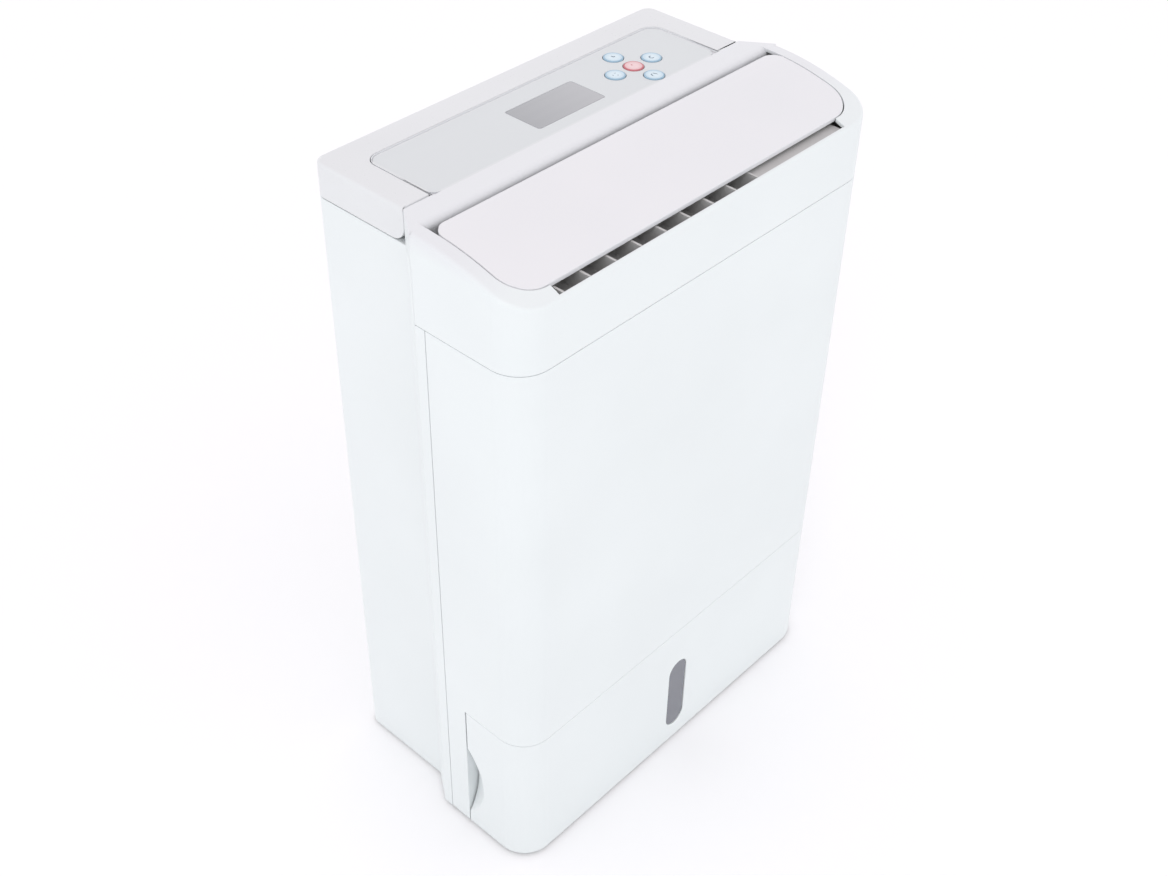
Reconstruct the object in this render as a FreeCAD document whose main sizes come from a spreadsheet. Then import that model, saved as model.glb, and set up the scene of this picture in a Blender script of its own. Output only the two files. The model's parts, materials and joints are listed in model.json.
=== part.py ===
"""Slim desiccant dehumidifier: casing, tank, louvre, handle, keys and the drying works inside.

Frame: millimetres, +Z up, front towards -Y, origin on the floor under the middle of the casing.
"""
import FreeCAD, Part
import math
import os
import re

from FreeCAD import Rotation, Vector
import Sketcher

doc = FreeCAD.newDocument("Dehumidifier")

# ---------------------------------------------------------------- driving sizes
SIZES = {
    # casing; a value that starts with "=" follows other sizes
    "case_height": 480, "case_depth": 178, "front_width": 316, "rear_width": 288,
    "wall": 2.5, "part_gap": 0.5, "seam_gap": 0.3, "front_corner": 22, "rear_corner": 8,
    "foot_height": 2, "foot_radius": 9, "foot_inset_x": 24, "foot_inset_y": 19, "skirt_gap": 0.5,
    "panel_seam": 15.5, "flare_front": 8, "flare_rear": 12, "panel_top": "=case_height-59",
    "shelf_top": "=case_height-23", "crown_radius": 192, "rim_round": 3, "rim_zone": 20, "deck_round": 5,
    "base_thick": 4, "screw_radius": 1.5, "screw_head": 3.5, "screw_inset": 12, "rail_x": 100,
    # carry handle
    "arm_width": 20, "bar_depth": 21, "grip_corner": 10, "handle_pin_back": 12,
    "handle_pin_drop": 4.4, "pin_radius": 2.5, "run_gap": 0.08, "arm_end_round": 10, "bar_round": 2.5,
    "shelf_gap": 0.6, "lift_half": 45, "finger_half": 48, "lip_half": 44, "pin_cover": 8,
    # control panel
    "fascia_half": "=rear_width/2-arm_width-1.2", "fascia_front": 11.5,
    "fascia_rear": "=case_depth/2-bar_depth-1.2", "fascia_thick": 1, "fascia_set": 0.6,
    "fascia_corner": 9, "display_length": 57, "display_depth": 29, "display_back": 36.5,
    "key_radius": 6.5, "key_gap": 0.4, "key_pitch": "=2*key_radius+4", "key_cross_x": 70.5,
    "key_stand": 0.5, "key_travel": 0.8, "key_collar": 0.9, "key_stem": 1.6, "board_drop": 13,
    "board_half": 110, "board_deep": 24, "board_thick": 1.6, "switch_height": 4, "module_rim": 4,
    # louvre and outlet
    "flap_half": 147.5, "flap_rear": 13, "flap_front": "=case_depth/2-10", "flap_thick": 3,
    "flap_gap": 0.7, "flap_rear_corner": 10, "flap_front_corner": 19,
    "hinge_back": "=flare_front+2+10*louvre_module",
    "hinge_drop": 7, "hinge_pin": 1.5, "lug_radius": 3.4, "lug_thick": 3, "lug_set": 7,
    "slot_half": 126, "vane_count": 9, "vane_pitch": "=(slot_half+duct_right-12)/(vane_count-1)",
    "vane_thick": 1.6,
    "vane_drop": "=crown_radius-sqrt(crown_radius^2-(case_depth/2-flare_front)^2)-0.4", "duct_left": 126,
    "duct_right": 50,
    "tray_top": "=shelf_top-9", "tray_thick": 2, "louvre_module": 0.8, "sector_teeth": 20,
    "swing_teeth": 12, "swing_x": 120, "swing_motor_long": 16,
    # tank
    "tank_top": 118, "tank_seam": 34, "tank_floor": 10, "bucket_half": 138,
    "bucket_rear": "=scroll_rear+12", "bucket_rim": "=tank_top-8", "bucket_wall": 2,
    "scoop_low": 12.5, "scoop_high": 82.5, "scoop_run": 15, "scoop_depth": 10, "return_thick": 2,
    "window_radius": 9.5, "window_low": 17, "window_high": 84, "spout_hole": 12,
    "float_x": 90, "float_y": -30, "float_radius": 14, "float_rod": 2, "float_high": 12,
    # drying works
    "fan_x": "=0.4*scroll_radius-74.8", "fan_z": 275, "fan_radius": 78, "scroll_radius": "=fan_radius+14",
    "scroll_wall": 2,
    "scroll_front": "=case_depth/2-29", "scroll_rear": "=frame_front-24", "fan_inlet": 58,
    "shaft_radius": 4, "fan_blades": 24, "blade_chord": 14, "blade_thick": 1.2, "wheel_set": 24,
    "fan_hub": 12, "fan_motor": 30,
    "rotor_x": -8, "rotor_z": 290, "rotor_radius": 96, "rotor_front": "=frame_front+4",
    "rotor_thick": 18, "rotor_module": "=2*(rotor_radius+6)/rotor_teeth", "rotor_teeth": 120,
    "rotor_tooth_width": 8, "pinion_teeth": 12, "axle_radius": 8, "spoke_half": 7,
    "frame_half": 125, "frame_low": 170, "frame_high": "=case_height-50",
    "frame_front": "=case_depth/2-55", "frame_rear": "=case_depth/2-27",
    "regen_x": 104, "regen_z": 152, "regen_radius": 28, "regen_blades": 16, "regen_chord": 9,
    "heater_left": -4, "heater_right": 70, "heater_low": 302, "heater_high": 384, "heater_wall": 2,
    "heater_bars": 6, "heater_pitch": 11, "heater_bar": 2.2, "cutout_radius": 7,
    "tube_radius": 5, "tube_count": 13, "tube_pitch": "=(2*inlet_half-14)/(tube_count-1)",
    "drip_low": 122, "drip_high": 138, "drip_wall": 2,
    # rear face
    "inlet_half": 112, "inlet_low": 150, "inlet_high": "=case_height-50", "louvre_slots": 17,
    "slot_pitch": "=(inlet_high-inlet_low-14.8)/louvre_slots", "slot_open": 9, "grille_rim": 6,
    "lattice_columns": 5, "lattice_rows": 7, "lattice_bar": 3,
    "port_x": 100, "port_z": 40, "gland_radius": 8, "cord_hole": 3.6, "drain_radius": 7,
}

sheet = doc.addObject("Spreadsheet::Sheet", "Sizes")
for row, (alias, value) in enumerate(SIZES.items(), start=1):
    sheet.set(f"A{row}", alias)
    sheet.set(f"B{row}", str(value))
    sheet.setAlias(f"B{row}", alias)
doc.recompute()

PARTS = []


# ---------------------------------------------------------------- helpers
def size(alias):
    """Value of one named size, read from the sheet."""
    return float(sheet.get(alias))


def formula(text):
    """A formula in size names, written the way the document's expressions need it."""
    return re.sub(r"[a-z][a-z_]*", lambda m: ("Sizes." if m.group() in SIZES else "") + m.group(), str(text))


def work(text):
    """The number that a formula in size names gives."""
    names = {name for name in re.findall(r"[a-z][a-z_]*", str(text)) if name in SIZES}
    terms = re.sub(r"[a-z][a-z_]*", lambda m: repr(size(m.group())) if m.group() in names else m.group(),
                   str(text))
    return float(sheet.evalExpression(terms))


def bind(obj, **formulas):
    """Bind properties to formulas; a double underscore in a name stands for a dot."""
    for name, text in formulas.items():
        obj.setExpression(name.replace("__", "."), formula(text))
    return obj


def add(kind, name):
    """A new object of a kind in the document."""
    return doc.addObject(kind, name)


def block(x, y, z, name="Block"):
    """A box between two formulas on each axis."""
    made = add("Part::Box", name)
    bind(made, Length=f"({x[1]})-({x[0]})", Width=f"({y[1]})-({y[0]})", Height=f"({z[1]})-({z[0]})")
    return bind(made, Placement__Base__x=x[0], Placement__Base__y=y[0], Placement__Base__z=z[0])


TURNS = {
    "X": Rotation(Vector(0, 1, 0), 90),
    "Y": Rotation(Vector(1, 0, 0), -90),
    "Z": Rotation(),
}


def rod(axis, radius, span, at, name="Rod"):
    """A cylinder along an axis, between the span's ends; `at` is its place on the other two axes."""
    made = add("Part::Cylinder", name)
    made.Placement.Rotation = TURNS[axis]
    bind(made, Radius=radius, Height=f"({span[1]})-({span[0]})")
    others = [letter for letter in "xyz" if letter != axis.lower()]
    made.setExpression(f"Placement.Base.{axis.lower()}", formula(span[0]))
    for letter, place in zip(others, at):
        made.setExpression(f"Placement.Base.{letter}", formula(place))
    return made


def taper(y, half_front, half_rear, z, name="Taper"):
    """A block whose half width changes from its front face to its rear face."""
    made = add("Part::Wedge", name)
    bind(made, Ymin=y[0], Ymax=y[1], Xmin=f"-({half_front})", Xmax=half_front)
    bind(made, X2min=f"-({half_rear})", X2max=half_rear)
    return bind(made, Zmin=z[0], Zmax=z[1], Z2min=z[0], Z2max=z[1])


def fuse(pieces, name="Fuse"):
    """The pieces joined into one; a single piece is passed through."""
    if len(pieces) == 1:
        return pieces[0]
    made = add("Part::MultiFuse", name)
    made.Shapes = list(pieces)
    made.Refine = True
    return made


def cut(base, tools, name="Cut"):
    """The base with every tool taken away."""
    made = add("Part::Cut", name)
    made.Base = base
    made.Tool = fuse(tools, "Tools")
    made.Refine = True
    return made


def common(first, second, name="Common"):
    """What two pieces share."""
    made = add("Part::Common", name)
    made.Base = first
    made.Tool = second
    return made


def is_upright(edge):
    """True for an edge that runs straight up."""
    first, last = (vertex.Point for vertex in edge.Vertexes)
    return abs(first.x - last.x) < 1e-6 and abs(first.y - last.y) < 1e-6


def rounded(base, radius, wanted, name="Rounded"):
    """Round the edges for which wanted(edge) is true."""
    doc.recompute()
    made = add("Part::Fillet", name)
    made.Base = base
    picked = [index for index, edge in enumerate(base.Shape.Edges, 1)
              if len(edge.Vertexes) == 2 and wanted(edge)]
    made.Edges = [(index, radius, radius) for index in picked]
    return made


def front_rounded(x, y, z, radius):
    """A block with its two front upright edges rounded."""
    base = block(x, y, z)
    doc.recompute()
    middle = base.Shape.BoundBox.Center.y
    return rounded(base, radius, lambda edge: is_upright(edge) and edge.Vertexes[0].Y < middle)


def rear_rounded(x, y, z, radius):
    """A block with its two rear upright edges rounded."""
    base = block(x, y, z)
    doc.recompute()
    middle = base.Shape.BoundBox.Center.y
    return rounded(base, radius, lambda edge: is_upright(edge) and edge.Vertexes[0].Y > middle)


def four_rounded(x, y, z, radius):
    """A block with its four upright edges rounded."""
    return rounded(block(x, y, z), radius, is_upright)


def part(node, made):
    """Keep an object as the sub-part of this name."""
    made.Label = node
    PARTS.append((node, made))
    return made


def origin_plane(body, role):
    """A body's own plane of this role."""
    return next(plane for plane in body.Origin.OriginFeatures if plane.Role == role)


def plate_sketch(body, name, role, half_wide, half_high, centre, radius, offset):
    """A rounded rectangle on an origin plane, its sizes bound to the sheet."""
    sketch = body.newObject("Sketcher::SketchObject", name)
    sketch.AttachmentSupport = (origin_plane(body, role), [""])
    sketch.MapMode = "FlatFace"
    sketch.setExpression("AttachmentOffset.Base.z", formula(offset))
    wide, high, turn = work(half_wide), work(half_high), work(radius)
    mid_x, mid_y = work(centre[0]), work(centre[1])
    corners = [(mid_x + wide - turn, mid_y + high - turn, 0), (mid_x - wide + turn, mid_y + high - turn, 90),
               (mid_x - wide + turn, mid_y - high + turn, 180), (mid_x + wide - turn, mid_y - high + turn,
                                                                 270)]
    for x, y, start in corners:
        circle = Part.Circle(Vector(x, y, 0), Vector(0, 0, 1), turn)
        sketch.addGeometry(Part.ArcOfCircle(circle, math.radians(start), math.radians(start + 90)), False)
    for index in range(4):
        first = sketch.getPoint(index, 2)
        last = sketch.getPoint((index + 1) % 4, 1)
        sketch.addGeometry(Part.LineSegment(first, last), False)
    for index in range(4):
        sketch.addConstraint(Sketcher.Constraint("Tangent", index, 2, 4 + index, 1))
        sketch.addConstraint(Sketcher.Constraint("Tangent", 4 + index, 2, (index + 1) % 4, 1))
    for line, kind in ((4, "Horizontal"), (5, "Vertical"), (6, "Horizontal")):
        sketch.addConstraint(Sketcher.Constraint(kind, line))
    for index in range(3):
        sketch.addConstraint(Sketcher.Constraint("Equal", index, index + 1))
    rules = [("Radius", (0, turn), radius),
             ("DistanceX", (-1, 1, 0, 3, mid_x + wide - turn), f"({centre[0]})+({half_wide})-({radius})"),
             ("DistanceY", (-1, 1, 0, 3, mid_y + high - turn), f"({centre[1]})+({half_high})-({radius})"),
             ("DistanceX", (-1, 1, 2, 3, mid_x - wide + turn), f"({centre[0]})-({half_wide})+({radius})"),
             ("DistanceY", (-1, 1, 2, 3, mid_y - high + turn), f"({centre[1]})-({half_high})+({radius})")]
    for kind, given, text in rules:
        index = sketch.addConstraint(Sketcher.Constraint(kind, *given))
        sketch.setExpression(f"Constraints[{index}]", formula(text))
    return sketch


def pad(body, sketch, length, name="Pad"):
    """Thicken a closed sketch."""
    made = body.newObject("PartDesign::Pad", name)
    made.Profile = sketch
    bind(made, Length=length)
    return made


def pocket_through(body, sketch, name="Pocket"):
    """Take a sketch away right through the body."""
    made = body.newObject("PartDesign::Pocket", name)
    made.Profile = sketch
    made.Type = "ThroughAll"
    made.Midplane = True
    return made


def plate(node, half_wide, half_deep, centre, radius, low, thick):
    """A flat body with rounded corners, lying level; more features can be added to it."""
    body = add("PartDesign::Body", node.title().replace("_", ""))
    outline = plate_sketch(body, node + "_outline", "XY_Plane", half_wide, half_deep, centre, radius, low)
    pad(body, outline, thick)
    doc.recompute()
    return part(node, body)


def gear_face(teeth, module, height):
    """A spur gear with straight-sided, slightly thinned teeth that run freely, in the XZ plane."""
    pitch = teeth * module / 2
    rows = [(pitch - 1.15 * module, 0.62), (pitch, 0.42), (pitch + 0.75 * module, 0.22)]
    step = 2 * math.pi / teeth
    points = []
    for tooth in range(teeth):
        middle = tooth * step
        for radius, share in rows:
            points.append((radius, middle - share * step / 2))
        for radius, share in reversed(rows):
            points.append((radius, middle + share * step / 2))
    ring = [Vector(radius * math.cos(turn), 0, radius * math.sin(turn)) for radius, turn in points]
    wire = Part.makePolygon(ring + [ring[0]])
    return Part.Face(wire).extrude(Vector(0, height, 0))


def turned(shape, axis, degrees):
    """The shape, turned about an axis through the origin."""
    shape.rotate(Vector(0, 0, 0), axis, degrees)
    return shape


def feature(name, shape, place):
    """An object whose shape is made here, then put in its place."""
    made = add("Part::Feature", name)
    made.Shape = shape
    made.Placement = FreeCAD.Placement(Vector(*place), Rotation()).multiply(shape.Placement)
    return made


# ---------------------------------------------------------------- shared places
FRONT = "-case_depth/2"
BACK = "case_depth/2"
FRONT_HALF = "front_width/2"
REAR_HALF = "rear_width/2"
FLOOR = "foot_height"
SKIRT = "foot_height+skirt_gap"
PIN_Y = "flare_rear+handle_pin_back"
PIN_Z = "case_height-handle_pin_drop"
HINGE_Y = "-hinge_back"
HINGE_Z = "case_height-hinge_drop"
SHELF = "shelf_top"
DECK_HALF = f"{REAR_HALF}-arm_width-part_gap"
DECK_REAR = f"{BACK}-bar_depth-part_gap"


def both(half, inner="0"):
    """The span of a half width to each side, let out by `inner`."""
    return (f"-({half})-({inner})", f"({half})+({inner})")


# ---------------------------------------------------------------- rear shell
def screw_places():
    """Back wall screw places as formulas: three up each side."""
    return [(f"{side}*(rear_width/2-screw_inset)", f"{share}*case_height")
            for side in (-1, 1) for share in (0.06, 0.5, 0.9)]


def rear_shell():
    """The rear half of the casing: back, sides with their flare, and the shelf under the deck."""
    low, high = FLOOR, SHELF
    tub = rear_rounded(both(REAR_HALF), ("flare_rear", BACK), (low, high), size("rear_corner"))
    flare = taper(("-flare_front", "flare_rear"), FRONT_HALF, REAR_HALF, (low, high))
    strip = block(both(FRONT_HALF), ("-panel_seam", "-flare_front"), (low, "panel_top-seam_gap"))
    room_top = "shelf_top-wall"
    room = block(both(REAR_HALF, "-wall"), ("flare_rear-1", f"{BACK}-wall"), ("0", room_top))
    flare_room = taper(("-flare_front-1", "flare_rear"), f"{FRONT_HALF}-wall", f"{REAR_HALF}-wall",
                       ("0", room_top))
    strip_room = block(both(FRONT_HALF, "-wall"), ("-panel_seam-1", "-flare_front"), ("0", "case_height"))
    deck_hole = block(both("frame_half-9"), ("0", f"{DECK_REAR}-wall-5"), ("shelf_top-2*wall", "case_height"))
    inlet = block(both("inlet_half"), (f"{BACK}-2*wall", f"{BACK}+1"), ("inlet_low", "inlet_high"))
    gland = rod("Y", "gland_radius", (f"{BACK}-2*wall", f"{BACK}+1"), ("port_x", "port_z"))
    boss = rod("Y", "drain_radius+wall", ("case_depth/2-24", f"{BACK}-wall"), ("-port_x", "port_z"))
    drain = rod("Y", "drain_radius+run_gap", ("case_depth/2-25", f"{BACK}+1"), ("-port_x", "port_z"))
    lift = block(both("lift_half"), (f"{BACK}-9", f"{BACK}+1"), ("shelf_top-1", "case_height"))
    shell = cut(fuse([tub, flare, strip]), [room, flare_room, strip_room, deck_hole, inlet, gland, lift])
    holes = [drain]
    for x, z in screw_places():
        holes.append(rod("Y", "screw_radius+run_gap", (f"{BACK}-2*wall", f"{BACK}+1"), (x, z)))
        holes.append(rod("Y", "screw_head+0.4", (f"{BACK}-wall*0.5", f"{BACK}+1"), (x, z)))
    part("rear_shell", cut(fuse([shell, boss]), holes, "RearShell"))


def front_panel():
    """The front shell above the tank, with a leg down each side behind the tank's finger grips."""
    low, high = "tank_top+seam_gap", "panel_top-seam_gap"
    rear = "-panel_seam-part_gap"
    outer = front_rounded(both(FRONT_HALF), (FRONT, rear), (low, high), size("front_corner"))
    room = front_rounded(both(FRONT_HALF, "-wall"), (f"{FRONT}+wall", "0"), ("0", "case_height"),
                         size("front_corner") - size("wall"))
    leg_front = "-tank_seam+part_gap"
    legs = block(both(FRONT_HALF), (leg_front, rear), (SKIRT, f"{low}+1"))
    returns = [block(x, (leg_front, f"{leg_front}+return_thick"), (SKIRT, "tank_top"))
               for x in (("wall-front_width/2-0.1", f"wall-{REAR_HALF}-part_gap"),
                         (f"{REAR_HALF}-wall+part_gap", "front_width/2-wall+0.1"))]
    part("front_panel", fuse([cut(fuse([outer, legs]), [room])] + returns, "FrontPanel"))


def crown(inset):
    """The long round of the top, as a cylinder along X, set in by a wall."""
    return rod("X", f"crown_radius-({inset})", ("-front_width", "front_width"),
               ("-flare_front", "case_height-crown_radius"))


def top_cover():
    """The top: arched front band round the flap, flared shoulders and the deck for the control panel."""
    band = front_rounded(both(FRONT_HALF), (FRONT, "-flare_front"), ("panel_top", "case_height"),
                         size("front_corner"))
    band_room = front_rounded(both(FRONT_HALF, "-wall"), (f"{FRONT}+wall", "1-flare_front"),
                              ("panel_top-1", "case_height"), size("front_corner") - size("wall"))
    arched = common(band, crown("0"))
    doc.recompute()
    top = arched.Shape.BoundBox.ZMax
    arched = rounded(arched, size("rim_round"), lambda edge: edge.BoundBox.ZMin > top - size("rim_zone")
                     and edge.BoundBox.YMin < -size("flare_front") - 1, "RimRound")
    front = cut(arched, [common(band_room, crown("wall"))])
    low = "shelf_top+part_gap"
    flare = taper(("-flare_front", "flare_rear"), FRONT_HALF, REAR_HALF, (low, "case_height"))
    deck = rear_rounded(both(DECK_HALF), ("0", DECK_REAR), (low, "case_height"), size("grip_corner") - 0.5)
    flare_room = taper(("wall-flare_front", "flare_rear-wall"), f"{FRONT_HALF}-wall", f"{REAR_HALF}-wall",
                       ("0", DECK_ROOF))
    deck_room = block(both(DECK_HALF, "-wall"), ("0", f"{DECK_REAR}-wall"), ("0", DECK_ROOF))
    flap_hole = front_rounded(both("flap_half", "flap_gap"), ("-flap_front-flap_gap", "-flare_front"),
                              ("panel_top+wall", "case_height+9"),
                              size("flap_front_corner") + size("flap_gap"))
    slot = block(both("slot_half"), (f"{FRONT}+wall", "9-flap_front"), ("panel_top+wall", "case_height+9"))
    brow = block(both("flap_half", "flap_gap"), ("-flare_front-1", "deck_round-flare_front"),
                 ("case_height-deck_round", "case_height+1"))
    brow_rod = rod("X", "deck_round", both(FRONT_HALF), ("deck_round-flare_front", "case_height-deck_round"))
    bed = rear_rounded(both("fascia_half", "0.2"), ("fascia_front-0.2", "fascia_rear+0.2"),
                       ("case_height-fascia_set-fascia_thick", "case_height+1"), size("fascia_corner"))
    view = block(both("display_length/2-2"), ("display_back-display_depth/2+2",
                                              "display_back+display_depth/2-2"),
                 ("shelf_top", "case_height"))
    holes = [flare_room, deck_room, flap_hole, slot, cut(brow, [brow_rod]), bed, view]
    for x, y in key_places().values():
        holes.append(rod("Z", "key_radius+key_gap", ("shelf_top", "case_height+1"), (x, y)))
    holes.append(rod("X", "pin_radius", both(REAR_HALF), (PIN_Y, PIN_Z)))
    part("top_cover", cut(fuse([front, flare, deck]), holes, "TopCover"))


def base_and_feet():
    """The floor of the casing with two rails for the tank, and four feet."""
    tray = block(both(REAR_HALF, "-wall"), (f"{FRONT}+wall+3.5", f"{BACK}-wall"),
                 (FLOOR, "foot_height+base_thick"))
    rails = [block((f"{x}-3", f"{x}+3"), (f"{FRONT}+10", "bucket_rear"),
                   ("foot_height+base_thick", "tank_floor-0.2")) for x in ("-rail_x", "rail_x")]
    part("base_tray", fuse([tray] + rails, "BaseTray"))
    feet = []
    for side in (-1, 1):
        for end in (-1, 1):
            feet.append(rod("Z", "foot_radius", ("0", FLOOR),
                            (f"{side}*(rear_width/2-foot_inset_x)", f"{end}*(case_depth/2-foot_inset_y)")))
    part("rubber_feet", fuse(feet, "RubberFeet"))


def case_screws():
    """Six cross-headed screws in the back."""
    screws = []
    for x, z in screw_places():
        head = rod("Y", "screw_head", (f"{BACK}-wall*0.5", f"{BACK}-0.2"), (x, z))
        shank = rod("Y", "screw_radius", (f"{BACK}-14", f"{BACK}-wall*0.5"), (x, z))
        cross = [block((f"{x}-2", f"{x}+2"), (f"{BACK}-0.8", BACK), (f"{z}-0.4", f"{z}+0.4")),
                 block((f"{x}-0.4", f"{x}+0.4"), (f"{BACK}-0.8", BACK), (f"{z}-2", f"{z}+2"))]
        screws.append(cut(fuse([head, shank]), cross))
    part("case_screws", fuse(screws, "CaseScrews"))


# ---------------------------------------------------------------- carry handle
def carry_handle():
    """A U-shaped handle that folds up about two pins at its arm ends."""
    low = "shelf_top+shelf_gap"
    whole = rear_rounded(both(REAR_HALF), ("flare_rear+part_gap", BACK), (low, "case_height"),
                         size("rear_corner"))
    doc.recompute()
    whole = rounded(whole, size("bar_round"), lambda edge: edge.BoundBox.ZMin > size("case_height") - 0.1
                    and edge.BoundBox.YMax > size("flare_rear") + 1, "BarRound")
    middle = rear_rounded(both(REAR_HALF, "-arm_width"), ("0", f"{BACK}-bar_depth"),
                          ("shelf_top", "case_height+1"), size("grip_corner"))
    heel = cut(block(both(REAR_HALF, "1"), ("flare_rear", "flare_rear+part_gap+arm_end_round"),
                     ("shelf_top", f"{low}+arm_end_round")),
               [rod("X", "arm_end_round", both(REAR_HALF, "2"), ("flare_rear+part_gap+arm_end_round",
                    f"{low}+arm_end_round"))])
    nose = cut(block(both(REAR_HALF, "1"), ("flare_rear", PIN_Y), (PIN_Z, "case_height+1")),
               [rod("X", "handle_pin_back-part_gap", both(REAR_HALF, "2"), (PIN_Y, PIN_Z))])
    fingers = block(both("finger_half"), (f"{BACK}-bar_depth+5", f"{BACK}-4"), ("shelf_top", "case_height-6"))
    lip = block(both("lip_half"), (f"{BACK}-6", f"{BACK}+1"), ("shelf_top", f"{low}+6"))
    bores = [rod("X", "pin_radius+run_gap", ("rear_width/2-arm_width-1", "rear_width/2-pin_cover"), (PIN_Y,
                                                                                                     PIN_Z)),
             rod("X", "pin_radius+run_gap", ("pin_cover-rear_width/2", "1+arm_width-rear_width/2"), (PIN_Y,
                                                                                                     PIN_Z))]
    part("carry_handle", cut(whole, [middle, heel, nose, fingers, lip] + bores, "CarryHandle"))
    pins = [rod("X", "pin_radius", ("rear_width/2-arm_width-12", "rear_width/2-pin_cover-0.4"), (PIN_Y,
                                                                                                 PIN_Z)),
            rod("X", "pin_radius", ("pin_cover+0.4-rear_width/2", "12+arm_width-rear_width/2"), (PIN_Y,
                                                                                                 PIN_Z))]
    part("handle_pins", fuse(pins, "HandlePins"))


# ---------------------------------------------------------------- control panel
def key_places():
    """Centre key and the four round it, as places in formulas."""
    middle = ("key_cross_x", "display_back")
    return {
        "power_key": middle,
        "timer_key": (middle[0], f"{middle[1]}+key_pitch"),
        "fan_key": (f"{middle[0]}-key_pitch", middle[1]),
        "swing_key": (f"{middle[0]}+key_pitch", middle[1]),
        "humidity_key": (middle[0], f"{middle[1]}-key_pitch"),
    }


BOARD_TOP = "case_height-board_drop"
FASCIA_TOP = "case_height-fascia_set"
DECK_ROOF = "case_height-fascia_set-fascia_thick-2"
KEY_FOOT = f"{DECK_ROOF}-1.9"


def control_panel():
    """Film-covered fascia, display, five keys and the board they press on."""
    body = plate("control_fascia", "fascia_half", "(fascia_rear-fascia_front)/2",
                 ("0", "(fascia_rear+fascia_front)/2"), "fascia_corner-0.2",
                 f"{FASCIA_TOP}-fascia_thick", "fascia_thick")
    opening = plate_sketch(body, "display_opening", "XY_Plane", "display_length/2+0.2", "display_depth/2+0.2",
                           ("0", "display_back"), "2", FASCIA_TOP)
    pocket_through(body, opening)
    keys = body.newObject("Sketcher::SketchObject", "key_openings")
    keys.AttachmentSupport = (origin_plane(body, "XY_Plane"), [""])
    keys.MapMode = "FlatFace"
    keys.setExpression("AttachmentOffset.Base.z", formula(FASCIA_TOP))
    for index, (x, y) in enumerate(key_places().values()):
        reach = size("key_radius") + size("key_gap")
        keys.addGeometry(Part.Circle(Vector(work(x), work(y), 0), Vector(0, 0, 1), reach), False)
        for kind, given, text in (("Radius", (index, reach), "key_radius+key_gap"),
                                  ("DistanceX", (-1, 1, index, 3, work(x)), x),
                                  ("DistanceY", (-1, 1, index, 3, work(y)), y)):
            rule = keys.addConstraint(Sketcher.Constraint(kind, *given))
            keys.setExpression(f"Constraints[{rule}]", formula(text))
    pocket_through(body, keys, "KeyPocket")
    plate("display_window", "display_length/2", "display_depth/2", ("0", "display_back"), "1.8",
          f"{FASCIA_TOP}-fascia_thick", "fascia_thick-0.1")
    half_deep = "display_depth/2+module_rim"
    module = block(both("display_length/2+module_rim"),
                   (f"display_back-({half_deep})", f"display_back+{half_deep}"),
                   (BOARD_TOP, DECK_ROOF), "DisplayModule")
    part("display_module", module)
    plate("control_board", "board_half", "board_deep", ("0", "display_back"), "3",
          f"{BOARD_TOP}-board_thick", "board_thick")
    switches = []
    for node, (x, y) in key_places().items():
        switches.append(block((f"{x}-3", f"{x}+3"), (f"{y}-3", f"{y}+3"),
                              (BOARD_TOP, f"{BOARD_TOP}+switch_height")))
        collar = rod("Z", "key_radius+key_collar", (KEY_FOOT, f"{DECK_ROOF}-0.4"), (x, y))
        cap = rod("Z", "key_radius", (KEY_FOOT, f"{FASCIA_TOP}+key_stand"), (x, y))
        stem = rod("Z", "key_stem", (f"{BOARD_TOP}+switch_height+key_travel+0.1", KEY_FOOT), (x, y))
        part(node, fuse([cap, collar, stem], node.title().replace("_", "")))
    part("key_switches", fuse(switches, "KeySwitches"))


# ---------------------------------------------------------------- louvre and outlet
def gear_reach(teeth_name, module_name):
    """Pitch radius of a gear."""
    return size(teeth_name) * size(module_name) / 2


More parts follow.
